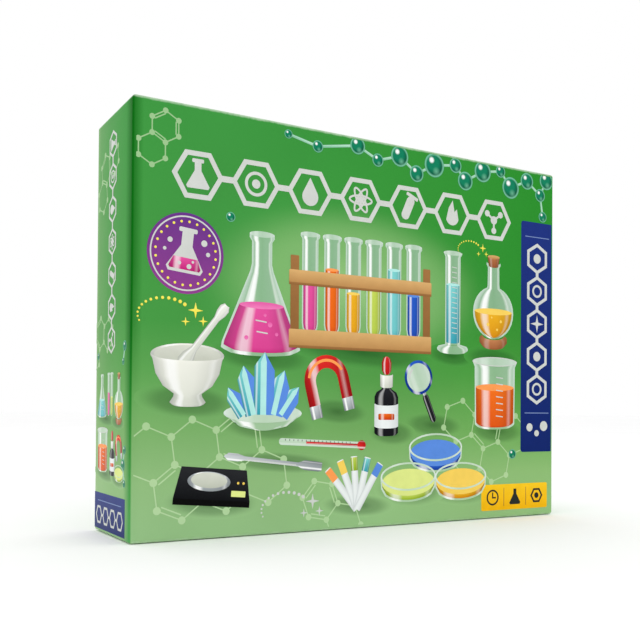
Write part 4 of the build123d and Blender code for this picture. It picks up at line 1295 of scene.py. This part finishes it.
def make_grains():
    """Loose grains or pressed beads: rounded cells with their own shades and dark joints."""
    tree, given, result = group(
        "grains",
        {"Place": "Vector", "Color": "Color", "Scale": 250.0, "Joint": 0.5, "Depth": 0.5},
        {"Color": "Color", "Height": "Float", "Normal": "Vector"},
    )
    inputs = {"Vector": given["Place"], "Scale": given["Scale"]}
    cells = add(tree, "ShaderNodeTexVoronoi", inputs).outputs
    walls = add(tree, "ShaderNodeTexVoronoi", inputs, feature="DISTANCE_TO_EDGE").outputs
    own = ramp(tree, axes(tree, cells["Color"])[0], [(0.0, 0.93), (1.0, 1.03)])
    shade = toned(tree, given["Color"], own)
    joint = ramp(tree, walls[0], [(0.0, 1.0), (0.05, 0.55), (0.14, 0.0)])
    joint = sums(tree, "MULTIPLY", joint, given["Joint"])
    dark = toned(tree, shade, (0.72, 0.72, 0.72, 1))
    tree.links.new(mixed(tree, joint, shade, dark), result["Color"])
    height = ramp(tree, walls[0], [(0.0, 0.0), (0.12, 0.6), (0.4, 1.0)])
    tree.links.new(height, result["Height"])
    tree.links.new(bumped(tree, height, given["Depth"], 0.0004), result["Normal"])
    return tree


MOULDED = make_moulded_skin()
GRAINS = make_grains()


def put_skin(tree, shader, colour, gloss, grain):
    """The moulded skin on a material."""
    inputs = {"Place": own_place(tree), "Color": paint(*colour), "Gloss": gloss, "Grain": grain}
    skin = effect(tree, MOULDED, inputs)
    dress(tree, shader, skin["Color"], skin["Roughness"], skin["Normal"])


def moulded(name, colour, gloss, grain=0.1):
    return material(name, lambda tree, shader: put_skin(tree, shader, colour, gloss, grain))


def see_through(name, colour, clear_part, edge_part, gloss, grain=0.05):
    """A thin clear wall: nearly bare where it is looked straight through, dense towards its outline."""

    def build(tree, shader):
        put_skin(tree, shader, colour, gloss, grain)
        facing = add(tree, "ShaderNodeLayerWeight", {"Blend": 0.35}).outputs["Facing"]
        between = clear_part * 0.6 + edge_part * 0.4
        density = ramp(tree, facing, [(0.0, clear_part), (0.55, between), (1.0, edge_part)])
        tree.links.new(density, shader.inputs["Alpha"])

    return material(name, build)


def grainy(name, colour, scale, joint, depth, rough=0.9):
    """Grains or beads of a size, their joints and their depth from 0 to 1, duller in the joints."""

    def build(tree, shader):
        beads = effect(tree, GRAINS, {
            "Place": own_place(tree), "Color": paint(*colour), "Scale": scale, "Joint": joint, "Depth": depth,
        })
        roughness = ramp(tree, beads["Height"], [(0.0, rough), (1.0, rough - 0.16)])
        dress(tree, shader, beads["Color"], roughness, beads["Normal"])

    return material(name, build)


def lined(tree, scale, detail, rough):
    """Noise stretched into fine lines by a scale for each axis."""
    place = add(tree, "ShaderNodeMapping", {"Vector": own_place(tree), "Scale": scale}).outputs[0]
    return noise(tree, place, 1.0, detail, rough)


def brushed(name, colour):
    """Metal with fine lines along its length."""

    def build(tree, shader):
        lines = lined(tree, (900.0, 900.0, 26.0), 4.0, 0.6)
        tone = toned(tree, paint(*colour), ramp(tree, lines, [(0.3, 0.82), (0.7, 1.06)]))
        roughness = ramp(tree, lines, [(0.2, 0.2), (0.8, 0.42)])
        dress(tree, shader, tone, roughness, bumped(tree, lines, 0.15, 0.0001))

    return material(name, build, Metallic=1.0)


def label_finish(name, bands):
    """Label paper with printed bands, given by the heights of their middles, their half widths and inks."""

    def build(tree, shader):
        place = own_place(tree)
        z = axes(tree, place)[2]
        fibre = noise(tree, place, 600.0, 4.0, 0.65)
        shown = ramp(tree, fibre, [(0.35, paint(232, 233, 230)), (0.65, paint(246, 246, 243))])
        for height, half, band_ink in bands:
            away = sums(tree, "ABSOLUTE", sums(tree, "SUBTRACT", z, height))
            shown = mixed(tree, sums(tree, "LESS_THAN", away, half * MM), shown, paint(*band_ink))
        roughness = ramp(tree, fibre, [(0.0, 0.5), (1.0, 0.68)])
        dress(tree, shader, shown, roughness, bumped(tree, fibre, 0.12, 0.0001))

    return material(name, build)


def page_finish():
    """The edges of stacked pages on the sides, plain paper elsewhere."""

    def build(tree, shader):
        lines = lined(tree, (8.0, 7000.0, 8.0), 3.0, 0.7)
        paper = ramp(tree, lines, [(0.35, paint(206, 200, 184)), (0.65, paint(244, 241, 230))])
        roughness = ramp(tree, lines, [(0.0, 0.8), (1.0, 0.9)])
        dress(tree, shader, paper, roughness, bumped(tree, lines, 0.4, 0.0002))

    return material("page_sheets", build)


def cover_finish():
    """The manual's cover: coated card in the case's green, paler along the worn fold."""

    def build(tree, shader):
        place = own_place(tree)
        crack = ramp(tree, noise(tree, place, 240.0, 5.0, 0.7), [(0.45, 0.0), (0.6, 0.8)])
        by_fold = spread(tree, axes(tree, place)[0], -0.1022, -0.0992, 1.0, 0.0)
        worn = sums(tree, "MULTIPLY", by_fold, crack)
        laminate(tree, shader, mixed(tree, worn, wrap_green(tree), paint(226, 234, 220)), 0.3)

    return material("cover_card", build)


EPS = grainy("expanded_foam", (244, 245, 242), 360.0, 0.32, 0.32)
VIAL = see_through("vial_tube_plastic", (246, 250, 249), 0.2, 0.62, 0.24)
RED_CAP = moulded("red_cap_plastic", (206, 34, 24), 0.32)
TUBE = see_through("clear_tube_plastic", (240, 249, 234), 0.05, 0.7, 0.08)
CLEAR_GLASS = see_through("bent_glass", (226, 240, 234), 0.06, 0.6, 0.04, 0.02)
CUP = see_through("clear_cup_plastic", (250, 253, 252), 0.34, 0.8, 0.2)
BLUE_LID = moulded("blue_lid_plastic", (22, 52, 148), 0.3)
STOPPER = moulded("stopper_rubber", (112, 26, 24), 0.55, 0.25)
GREY_PLUG = moulded("grey_plug_plastic", (178, 184, 184), 0.4)
BOTTLE = moulded("dark_bottle_glass", (20, 18, 20), 0.14, 0.05)
WHITE_CAP = moulded("white_cap_plastic", (238, 238, 234), 0.36)
SPOON = moulded("spoon_plastic", (240, 240, 236), 0.34)
NATURAL = see_through("milky_plastic", (246, 248, 242), 0.74, 0.95, 0.36, 0.1)
BRISTLE = moulded("bristle_hair", (252, 243, 212), 0.5, 0.2)
COTTON = moulded("tuft_cotton", (250, 249, 243), 0.85, 0.3)
WIRE = brushed("galvanised_wire", (176, 178, 180))
SHEET_STEEL = brushed("opener_steel", (196, 198, 200))
STAPLE = brushed("staple_steel", (190, 190, 192))
PAGES = page_finish()
COVER = cover_finish()
POWDERS = [
    grainy("white_crystals", (242, 242, 238), 1300.0, 0.6, 0.9),
    grainy("blue_crystals", (44, 112, 196), 900.0, 0.7, 1.0, 0.6),
    grainy("yellow_powder", (232, 208, 84), 2100.0, 0.4, 0.6),
    grainy("white_powder", (246, 246, 242), 2400.0, 0.3, 0.5),
    grainy("violet_crystals", (92, 40, 108), 1100.0, 0.7, 1.0, 0.6),
    grainy("iron_filings", (66, 64, 62), 1700.0, 0.8, 1.0, 0.6),
    grainy("pale_tablets", (234, 226, 206), 420.0, 0.9, 1.0),
]
POWDER_LEVELS = (62, 50, 58, 66, 46, 40, 54)
BAND_INKS = (
    (70, 150, 70), (30, 84, 168), (222, 180, 30), (150, 156, 160), (110, 54, 132), (60, 60, 62),
    (206, 96, 40),
)


# ---------------------------------------------------------------- turned and repeated pieces
POINT = 0.01  # the radius, in millimetres, of a ring that is to close
VIAL_HIGH = 0.078
TUBE_HIGH = 0.120
BEAKER_HIGH = 0.062


def raised(name, finish, rings, sides=48):
    """A turned piece, raised ring by ring from a circle: radii and heights in millimetres. A radius of 0
    closes it, and a last ring like the first joins it to its start."""
    clear()
    (radius, height), *rest = rings
    radius = max(radius, POINT)
    bpy.ops.mesh.primitive_circle_add(vertices=sides, radius=radius * MM, location=(0, 0, height * MM))
    piece = settle(added(name, finish))
    pick_all(piece, "VERT")
    for wide, high in rest:
        wide = max(wide, POINT)
        extrude(0, 0, (high - height) * MM)
        bpy.ops.transform.resize(value=(wide / radius, wide / radius, 1), center_override=(0, 0, high * MM))
        radius, height = wide, high
    close_up(0.00003)
    return smooth(piece, 32)


def close_up(reach):
    """Merges what lies nearer than this and points all faces outwards, in edit mode, then leaves it."""
    bpy.ops.mesh.select_all(action="SELECT")
    bpy.ops.mesh.remove_doubles(threshold=reach)
    bpy.ops.mesh.normals_make_consistent(inside=False)
    done()


def bevelled(piece, width, segments, angle):
    """Rounds the edges that are sharper than an angle, in degrees."""
    with_modifier(
        piece, "BEVEL", width=width, segments=segments, limit_method="ANGLE", angle_limit=math.radians(angle)
    )


def foot(node, rise=0.0):
    """The middle of a node's foot, or a place this far above it."""
    low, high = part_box(node)
    return Vector(((low.x + high.x) / 2, (low.y + high.y) / 2, low.z)) + Vector((0, 0, rise))


def stand(piece, node, body="insert", replaced=True):
    """Puts a piece that stands where a node is on its body, and hides the node if the piece replaces it."""
    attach(piece, body)
    if replaced:
        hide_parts(node)


def set_down(piece, nodes):
    """Copies of a piece on the feet of several nodes."""
    for node in nodes:
        stand(copy_of(piece, f"{node}_shape", Matrix.Translation(foot(node))), node)
    drop(piece)


def put_on(piece, rise, nodes, kind):
    """Copies of a cap or lid above the feet of several nodes, each on a joint of its own."""
    for i, node in enumerate(nodes):
        name = f"{kind}_{i + 1}"
        stand(copy_of(piece, f"{name}_shape", Matrix.Translation(foot(node, rise))), name, name)
    drop(piece)


def keep_faces(piece, test):
    """Drops the picked faces that fail the test, and stays in edit mode."""
    done()
    for face in piece.data.polygons:
        face.select = face.select and bool(test(face))
    bpy.ops.object.mode_set(mode="EDIT")


def around(piece, least, most, inner, count=1, test=lambda sector: True):
    """Goes into edit mode with those faces picked that lie between two heights, further out than a radius
    and in a sector that passes the test, of this many round the axis."""

    def chosen(face):
        x, y, z = face.center
        sector = int((math.atan2(y, x) / (2 * math.pi) + 1) * count) % count
        return least * MM < z < most * MM and test(sector)

    pick_faces(piece, chosen)
    keep_faces(piece, lambda face: math.hypot(*face.center[:2]) >= inner * MM)


def sink(thickness, depth):
    """Sinks each picked face by itself, inside a narrow frame."""
    bpy.ops.mesh.inset(thickness=thickness, depth=-depth, use_individual=True)
    done()


def arc_rings(radius, middle):
    """Rings up a half ball, from its lowest point to its widest ring."""
    turns = [math.radians(90 * i / 8) for i in range(9)]
    return [(radius * math.sin(t), middle - radius * math.cos(t)) for t in turns]


# ---------------------------------------------------------------- vials
def settle_powder(heap, seed):
    """An uneven top for a heap of grains."""
    top = max(v.co.z for v in heap.data.vertices) - 0.003
    pick_faces(heap, lambda face: face.center.z > top and face.normal.z > 0.3, "VERT")
    bpy.ops.mesh.subdivide(number_cuts=2, fractal=0.35, fractal_along_normal=1.0, seed=seed)
    done()


def paper_label(name, finish, radius, low, high, thickness):
    """A label round a vial or bottle."""
    label = raised(name, finish, [(radius, low), (radius, high)], 64)
    return with_modifier(label, "SOLIDIFY", thickness=thickness, offset=1.0)


def make_vials():
    vials = [f"vial_{i}" for i in range(1, 8)]
    tube = raised("vial_tube", VIAL, [
        (0, 0.5), (6.6, 0.5), (7.2, 0), (8.1, 0), (8.7, 0.5), (8.9, 1.4), (8.9, 77.3), (8.75, 77.9),
        (8.3, 78), (8.05, 77.6), (8.05, 2.6), (7.6, 1.7), (6.6, 1.3), (0, 1.3),
    ])
    set_down(tube, vials)
    blank = paper_label("vial_label", label_finish("vial_label_paper", []), 8.93, 15, 61, 0.00006)
    for i, node in enumerate(vials):
        base = foot(node)
        middle = base.z + 0.038
        bands = [(middle + 0.018, 3.2, BAND_INKS[i]), (middle + 0.0135, 0.35, (40, 40, 42))]
        bands += [(middle + 0.006 - 0.0052 * k, 0.18, (150, 152, 154)) for k in range(5)]
        label = copy_of(blank, f"vial_label_{i + 1}", Matrix.Translation(base))
        label.data.materials[0] = label_finish(f"vial_label_{i + 1}_paper", bands)
        level = POWDER_LEVELS[i]
        heap = raised(f"vial_powder_{i + 1}", POWDERS[i], [
            (0, 1.4), (7.0, 1.5), (7.8, 2.3), (7.95, 4), (7.95, level), (6.4, level + 0.8 + i % 3),
            (3, level + 1.4), (0, level + 1.1 + i % 2),
        ], 40)
        settle_powder(heap, i + 3)
        shifted(heap, base)
        for piece in (label, heap):
            stand(piece, node, replaced=False)
    drop(blank)

    cap = raised("vial_cap", RED_CAP, [
        (9.15, -7.4), (9.9, -7.4), (10.2, -7.1), (10.22, -6.2), (9.95, -5.8), (9.95, -5.2), (9.95, 0.3),
        (9.95, 0.6), (10.2, 0.8), (10.22, 1.25), (9.95, 1.58), (9.1, 1.6), (8.75, 1.3), (8.6, 0.9),
        (4.2, 0.85), (3.9, 1.1), (3.4, 1.1), (3.2, 0.85), (0, 0.85), (0, 0), (9.15, 0), (9.15, -7.4),
    ], 72)
    around(cap, -5.1, 0.2, 9.6)
    sink(0.00016, 0.00012)
    put_on(cap, VIAL_HIGH, vials, "vial_cap")


# ---------------------------------------------------------------- test tubes, stoppers and the bent tube
def make_test_tubes():
    tube = raised("test_tube", TUBE, [
        *arc_rings(8.0, 8.0), (8, 117.4), (8.5, 118), (9.1, 118.3), (9.2, 118.8), (9.2, 119.4), (8.9, 119.9),
        (8.2, 120), (7.3, 119.9), (7.0, 119.5), (7.0, 60), *reversed(arc_rings(7.0, 8.2)),
    ], 56)
    set_down(tube, [f"test_tube_{i}" for i in range(1, 5)])
    stopper = raised("rubber_stopper_shape", STOPPER, [
        (2.7, -12), (5.5, -12), (5.83, -11.6), (6.8, -0.4), (7.66, 9.5), (7.3, 10), (3.2, 10), (2.7, 9.6),
        (2.7, -12),
    ])
    shifted(stopper, foot("test_tube_2", TUBE_HIGH))
    stand(stopper, "rubber_stopper", "rubber_stopper")
    plug = raised("tube_plug_shape", GREY_PLUG, [
        (0, -9), (6.1, -9), (6.5, -8.6), (6.6, -6), (6.84, -5.4), (6.84, -4), (6.6, -3.4), (6.84, -1),
        (6.84, 0.2), (9.1, 0.2), (9.55, 0.7), (9.55, 1.6), (9.55, 6.6), (9.55, 7.4), (9.1, 8), (7.6, 8),
        (7.1, 7.5), (6.9, 1.8), (0, 1.8),
    ], 60)
    around(plug, 1.7, 6.5, 9.2)
    sink(0.0002, 0.00022)
    shifted(plug, foot("test_tube_4", TUBE_HIGH))
    stand(plug, "tube_plug", "tube_plug")


def make_bent_tube():
    """A glass tube with a bend of 105 degrees, its ends melted round."""
    low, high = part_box("bent_tube")
    radius, straight, bend, leg = 2.5 * MM, 83.5 * MM, 10 * MM, 26 * MM
    x, y, turn = low.x + radius, (low.y + high.y) / 2, math.radians(105)
    clear()
    bpy.ops.mesh.primitive_circle_add(vertices=28, radius=radius, location=(x, y, low.z))
    tube = settle(added("bent_tube_shape", CLEAR_GLASS))
    pick_all(tube, "VERT")
    extrude(0, 0, straight)
    bpy.ops.mesh.spin(steps=14, angle=turn, center=(x + bend, y, low.z + straight), axis=(0, -1, 0))
    extrude(leg * math.sin(turn), 0, leg * math.cos(turn))
    close_up(0.00002)
    with_modifier(tube, "SOLIDIFY", thickness=1.0 * MM, offset=-1.0)
    bevelled(tube, 0.3 * MM, 2, 50)
    stand(smooth(tube, 40), "bent_tube")


# ---------------------------------------------------------------- beakers
def make_beakers():
    beakers = ["beaker_1", "beaker_2"]
    mark_heights = range(12, 56, 8)

    def wall(height):
        return (23.5 + 5.0 * height / 60, height)

    marks = [wall(height + rise) for height in mark_heights for rise in (0, 0.7)]
    cup = raised("beaker", CUP, [
        (0, 0.8), (20.6, 0.8), (21.4, 0), (22.8, 0), (23.4, 0.5), wall(2), *marks, wall(59.4), (28.9, 60),
        (29.6, 60.2), (29.8, 60.7), (29.8, 61.4), (29.4, 62), (28.2, 62), (27.5, 61.4), (27.2, 59.6),
        (22.5, 2.4), (21.6, 1.4), (0, 1.3),
    ], 96)
    for step, height in enumerate(mark_heights):
        reach = (9, 5)[step % 2]
        around(cup, height, height + 0.7, 23.3, 96, lambda sector: abs(sector - 72) < reach)
        raise_faces(0.22 * MM)
        done()
    set_down(smooth(cup, 32), beakers)

    lid = raised("beaker_lid", BLUE_LID, [
        (29.95, -4.8), (30.7, -4.8), (31.1, -4.4), (31.15, -3.6), (31.15, 0.02), (31.15, 1.18), (31.15, 1.9),
        (30.8, 2.38), (29.6, 2.4), (29.1, 2.0), (28.9, 1.3), (28.2, 1.18), (22.6, 1.18), (22.0, 0.75),
        (21.2, 0.75), (20.6, 1.18), (6.4, 1.18), (6.0, 0.95), (0, 0.95), (0, 0), (29.4, 0), (29.95, -0.3),
        (29.95, -4.8),
    ], 96)
    around(lid, 0.0, 1.2, 31.0, 96, lambda sector: min(sector, 95 - sector) < 2)
    extrude(3.8 * MM, 0, 0)
    extrude(1.1 * MM, 0, 0)
    bpy.ops.transform.resize(value=(1, 0.7, 0.7), center_override=(36.05 * MM, 0, 0.6 * MM))
    done()
    put_on(smooth(lid, 32), BEAKER_HIGH, beakers, "beaker_lid")


# ---------------------------------------------------------------- bottle, funnel and pipettes
def make_bottle():
    place = foot("bottle")
    bottle = raised("bottle_shape", BOTTLE, [
        (0, 0.9), (9.4, 0.9), (10.2, 0), (11.4, 0), (12.2, 0.5), (12.4, 1.4), (12.4, 40.6), (12.1, 42),
        (11.2, 43), (8.4, 45.8), (7.4, 46.8), (7.2, 48), (7.2, 57), (5.8, 57), (5.8, 46.4), (10.9, 41.2),
        (11.1, 40), (11.1, 2.2), (0, 1.5),
    ], 56)
    bands = [(place.z + 0.029, 2.2, (206, 60, 36))]
    bands += [(place.z + 0.0235 - 0.003 * k, 0.16, (120, 122, 124)) for k in range(4)]
    label = paper_label("bottle_label", label_finish("bottle_label_print", bands), 12.44, 9, 34, 0.00005)
    cap = raised("bottle_cap_shape", WHITE_CAP, [
        (7.9, 0), (9.2, 0), (9.5, 0.3), (9.5, 1.6), (9.2, 1.9), (9.5, 2.2), (9.5, 17.2), (9.3, 18.1),
        (8.7, 18.8), (7.9, 19), (0, 19), (0, 17.4), (7.9, 17.4), (7.9, 0),
    ], 96)
    around(cap, 2.3, 17.1, 9.3)
    keep_faces(cap, lambda face: math.atan2(face.center.y, face.center.x) / (2 * math.pi) * 32 % 1 > 0.62)
    raise_faces(-0.4 * MM)
    done()
    stand(shifted(bottle, place), "bottle")
    stand(shifted(label, place), "bottle", replaced=False)
    stand(shifted(smooth(cap, 32), foot("bottle", 0.0472)), "bottle_cap", "bottle_cap")


def funnel_ribs():
    """Three ribs along the funnel's stem, tapered at the foot."""
    clear()
    bpy.ops.mesh.primitive_cube_add(size=1, location=(5.7 * MM, 0, 32.2 * MM))
    rib = added("funnel_rib", NATURAL)
    rib.scale = (1.6 * MM, 1.1 * MM, 27.6 * MM)
    settle(rib)
    pick_faces(rib, lambda face: face.center.z < 0.02)
    bpy.ops.transform.resize(value=(0.25, 0.7, 1), center_override=(4.9 * MM, 0, 18.4 * MM))
    done()
    with_modifier(rib, "BEVEL", width=0.25 * MM, segments=2)
    ribs = [copy_of(rib, "funnel_rib", turn_by(turn)) for turn in (90, 210, 330)]
    drop(rib)
    return ribs


def make_funnel():
    body = raised("funnel_shape", NATURAL, [
        (3.8, 0), (5.0, 0), (5.0, 45.4), (5.3, 46.6), (29.2, 81), (29.8, 82.2), (29.9, 85), (30.0, 85.3),
        (30.0, 85.8), (29.6, 86), (29.1, 85.8), (28.8, 85.2), (28.8, 82.6), (28.3, 81.6), (4.3, 47),
        (3.8, 46), (3.8, 0),
    ], 72)
    slope = math.radians(35)
    level = (math.sin(slope), 0, math.cos(slope))
    pick_all(body)
    bpy.ops.mesh.bisect(plane_co=(5 * MM, 0, 0.01 * MM), plane_no=level, clear_inner=True, use_fill=True)
    done()
    funnel = joined("funnel_shape", [body, *funnel_ribs()])
    stand(shifted(smooth(funnel, 32), foot("funnel")), "funnel")


def make_pipettes():
    scale_rings = []
    for height in range(42, 96, 9):
        scale_rings += [(3.0, height), (3.14, height + 0.2), (3.14, height + 0.7), (3.0, height + 0.9)]
    pipette = raised("pipette", NATURAL, [
        (0, 0.5), (0.7, 0), (1.2, 0.15), (1.3, 1), (1.3, 23), (1.6, 25.5), (2.6, 28.6), (3.0, 30.4),
        *scale_rings,
        (3.0, 101.4), (3.5, 103), (5.4, 105.8), (6.3, 107.6), (6.5, 109.6), (6.5, 133), (6.2, 135.6),
        (5.2, 138), (3.4, 139.6), (0, 140),
    ], 36)
    with_modifier(pipette, "SOLIDIFY", thickness=0.45 * MM, offset=-1.0)
    set_down(smooth(pipette, 40), ["pipette_1", "pipette_2"])


# ---------------------------------------------------------------- brush
WIRE_RADIUS = 0.78 * MM


def twisted_pair():
    """Two wires swept round the Z axis, half a turn apart."""
    clear()
    bpy.ops.mesh.primitive_circle_add(
        vertices=8, radius=WIRE_RADIUS, fill_type="NOTHING", location=(0.8 * MM, 0, 0),
        rotation=(math.radians(90), 0, 0),
    )
    wire = settle(added("brush_wire", WIRE))
    turns, steps = 15, 14
    with_modifier(
        wire, "SCREW", use_merge_vertices=False, use_normal_calculate=True, angle=2 * math.pi * turns,
        screw_offset=122 * MM, steps=steps * turns, render_steps=steps * turns,
    )
    shifted(wire, (0, 0, 4.9 * MM))
    return [wire, copy_of(wire, "brush_wire", turn_by(180))]


def whorl(name, finish, count, inner, outer, thick, tilt):
    """Bristles that stand out from the stem all round, tilted down by an angle."""
    clear()
    bpy.ops.mesh.primitive_cone_add(
        vertices=3, radius1=thick, radius2=thick * 0.4, depth=outer - inner,
        location=((outer + inner) / 2, 0, 0), rotation=(0, math.radians(90), 0),
    )
    hair = settle(added(name, finish))
    hairs = []
    for i in range(count):
        lean = turn_by(tilt + 2 * (i * 37 % 11) - 10, "Y")
        reach = Matrix.Scale(1 - 0.03 * (i * 17 % 7), 4, Vector((1, 0, 0)))
        turn = Matrix.Rotation(2 * math.pi * (i + 0.23 * (i * 29 % 7 - 3) / 3) / count, 4, "Z")
        hairs.append(copy_of(hair, name, turn @ lean @ reach))
    drop(hair)
    return joined(name, hairs)


def make_brush():
    """A tube brush: two twisted wires, a head of bristles in a spiral and a tuft that covers the tip."""
    middle = foot("brush_bristles")
    middle.z = foot("brush_tuft").z
    wires = twisted_pair()
    clear()
    bpy.ops.mesh.primitive_torus_add(
        major_radius=5.2 * MM, minor_radius=WIRE_RADIUS, major_segments=36, minor_segments=10,
        location=(0, 0, 134 * MM), rotation=(math.radians(90), 0, 0),
    )
    loop = settle(added("brush_loop", WIRE))
    pick_faces(loop, lambda face: face.center.z < 129.6 * MM and abs(face.center.x) < 0.7 * MM)
    bpy.ops.transform.translate(value=(0, 0, -0.5 * MM))
    done()
    stem = smooth(joined("brush_wire_shape", [*wires, loop]), 60)

    whorl_of_hair = whorl("brush_hair", BRISTLE, 40, 1.4 * MM, 8.9 * MM, 0.18 * MM, 0)
    layers = []
    for i in range(74):
        turn = Matrix.Rotation(i * 0.0971, 4, "Z") @ Matrix.Scale(1 - 0.05 * (i * 13 % 5) / 4, 4)
        rise = Matrix.Translation((0, 0, (9.6 + 0.757 * i) * MM))
        layers.append(copy_of(whorl_of_hair, "brush_hair", rise @ turn))
    drop(whorl_of_hair)
    head = joined("brush_bristles_shape", layers)

    tufts = []
    for i in range(26):
        tilt = 88 - 3.3 * i
        reach = 7.9 if tilt < 60 else 6.4
        hairs = whorl("tuft_hair", COTTON, 18, 0.6 * MM, reach * MM, 0.2 * MM, min(tilt, 70))
        rise = Matrix.Translation((0, 0, (8.0 + 0.04 * i) * MM))
        hairs.data.transform(rise @ Matrix.Rotation(i * 0.2157, 4, "Z"))
        tufts.append(hairs)
    tuft = joined("brush_tuft_shape", tufts)
    for piece, node, finish_slot in (
        (stem, "brush_wire", "wire"), (head, "brush_bristles", "bristle"), (tuft, "brush_tuft", "cotton"),
    ):
        stand(shifted(piece, middle), node)


# ---------------------------------------------------------------- spoon
def make_spoon():
    """A double ended measuring spoon with round cups that open to the front."""
    low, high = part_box("measuring_spoon")
    y, z = low.y, (low.z + high.z) / 2
    cups = []
    for x, r in ((low.x + 7.5 * MM, 7.5), (high.x - 5 * MM, 5.0)):
        cup = raised("spoon_cup", SPOON, [
            (0, -6), (r * 0.5, -5.95), (r * 0.78, -5.4), (r * 0.94, -4.2), (r - 0.15, -2.4), (r - 0.1, -0.3),
            (r - 0.35, 0), (r - 0.75, 0), (r - 1.0, -0.3), (r - 1.05, -2.2), (r * 0.94 - 1, -3.8),
            (r * 0.78 - 1, -4.8), (r * 0.4, -5.2), (0, -5.2),
        ], 40)
        cup.data.transform(Matrix.Translation((x, y, z)) @ turn_by(90, "X"))
        cups.append(cup)
    left, right = low.x + 14.2 * MM, high.x - 9.3 * MM
    clear()
    bpy.ops.mesh.primitive_cube_add(size=1, location=((left + right) / 2, y + 1.15 * MM, z))
    handle = added("spoon_handle", SPOON)
    handle.scale = (right - left, 2.1 * MM, 5.8 * MM)
    settle(handle)
    pick_faces(handle, lambda face: face.center.y < y + 0.2 * MM)
    bpy.ops.mesh.inset(thickness=1.3 * MM)
    extrude(0, 0.9 * MM, 0)
    bpy.ops.transform.resize(value=(0.995, 1, 0.8), center_override=((left + right) / 2, y, z))
    done()
    bevelled(handle, 0.35 * MM, 3, 40)
    stand(smooth(joined("measuring_spoon_shape", [handle, *cups])), "measuring_spoon")


# ---------------------------------------------------------------- pieces that keep their own shape
def finish_nodes():
    """Materials for the nodes whose shape is shown as it is."""
    for node, finish in (
        ("foam_insert", EPS), ("manual_pages", PAGES), ("manual_cover", COVER), ("manual_staples", STAPLE),
        ("dropper_plug", WHITE_CAP), ("lid_opener", SHEET_STEEL),
    ):
        for finish_place in NODES[node].material_slots:
            finish_place.material = finish


def print_manual():
    """The picture on the manual's front cover, in layers half as deep as those on the case."""
    low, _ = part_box("manual_cover")
    piece = joined("manual_picture", [
        motif([tablet(WHITE, 0, y, 150, 0.9, 0, 1) for y in (0, 22)], 0, 214),
        heading(-69, 239, 0, 0.53),
        honeycomb([(0, 0), (1, 0), (0, 1), (1, 1), (-1, 1)], 15.5, -40, 46, 8, (0, 0), (1, 1)),
        motif(conical_flask(MAGENTA, MAGENTA_TOP), -34, 92, size=1.3),
        motif(glass_beaker(RED_LIQUID, RED_TOP), 42, 80, size=1.2),
        motif(test_tube_picture(AQUA, AQUA_TOP, 40), 6, 92, turn=-8, size=1.2),
    ])
    piece.data.transform(Matrix.Scale(0.5, 4, Vector((0, 0, 1))))
    with_modifier(piece, "SOLIDIFY", thickness=FILM * INK_SHARE / 2, offset=-1.0)
    piece.data.transform(Matrix(((1, 0, 0, 0.003), (0, 0, -1, low.y), (0, 1, 0, 0), (0, 0, 0, 1))))
    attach(piece, "manual")


make_half("base", "base_tray", BASE_INSET, False, liner_finish("base_liner", -0.0205, "LESS_THAN"))
make_vials()
make_test_tubes()
make_bent_tube()
make_beakers()
make_bottle()
make_funnel()
make_pipettes()
make_brush()
make_spoon()
finish_nodes()
print_manual()


# ---------------------------------------------------------------- studio
EYE = (-0.3573, -0.5791, 0.0855)
AHEAD = (0.5013, 0.8652, 0.0120)
UP = (-0.0118, -0.0071, 0.9999)
LENS = 48.7
LENS_SHIFT = 0.1278
FLOOR_BELOW = 0.0002  # the floor lies this far under the case


def make_floor():
    """A wide sheet of white paper."""

    def build(tree, shader):
        cloud = noise(tree, own_place(tree), 3.0, 3.0)
        soft = ramp(tree, cloud, [(0.3, paint(252, 252, 252)), (0.7, paint(255, 255, 255))])
        tree.links.new(soft, shader.inputs["Base Color"])

    clear()
    bpy.ops.mesh.primitive_plane_add(size=60, location=(0, 0, -FLOOR_BELOW))
    settle(added("floor", material("floor_paper", build, Roughness=0.9, Specular_IOR_Level=0.1)))


def soft_light(name, place, target, size, watts):
    data = bpy.data.lights.new(name, "AREA")
    data.shape = "RECTANGLE"
    data.size, data.size_y = size
    data.energy = watts
    lamp = bpy.data.objects.new(name, data)
    lamp.location = place
    lamp.rotation_euler = (Vector(target) - Vector(place)).to_track_quat("-Z", "Y").to_euler()
    bpy.context.scene.collection.objects.link(lamp)


def make_studio():
    """A white room and three soft lights on the middle of the case."""
    world = bpy.data.worlds.new("studio")
    world.use_nodes = True
    sky = world.node_tree.nodes["Background"]
    sky.inputs["Color"].default_value = (1.0, 1.0, 1.0, 1)
    sky.inputs["Strength"].default_value = 1.0
    bpy.context.scene.world = world
    middle = (0, 0, 0.14)
    soft_light("front_softbox", (-0.5, -2.1, 1.5), middle, (1.8, 1.4), 4)
    soft_light("left_softbox", (-2.2, -0.4, 1.2), middle, (1.2, 1.6), 3)
    soft_light("top_softbox", (0.3, 0.2, 2.4), middle, (2.0, 2.0), 5)


def make_camera():
    data = bpy.data.cameras.new("camera")
    data.lens, data.sensor_width, data.shift_y = LENS, 36, LENS_SHIFT
    data.clip_start, data.clip_end = 0.02, 60
    eye = bpy.data.objects.new("camera", data)
    ahead = Vector(AHEAD).normalized()
    right = ahead.cross(Vector(UP)).normalized()
    turn = Matrix((right, right.cross(ahead), -ahead)).transposed().to_4x4()
    eye.matrix_world = Matrix.Translation(EYE) @ turn
    bpy.context.scene.collection.objects.link(eye)
    bpy.context.scene.camera = eye


make_floor()
make_studio()
make_camera()
bpy.context.scene.view_settings.view_transform = "Standard"

clear()
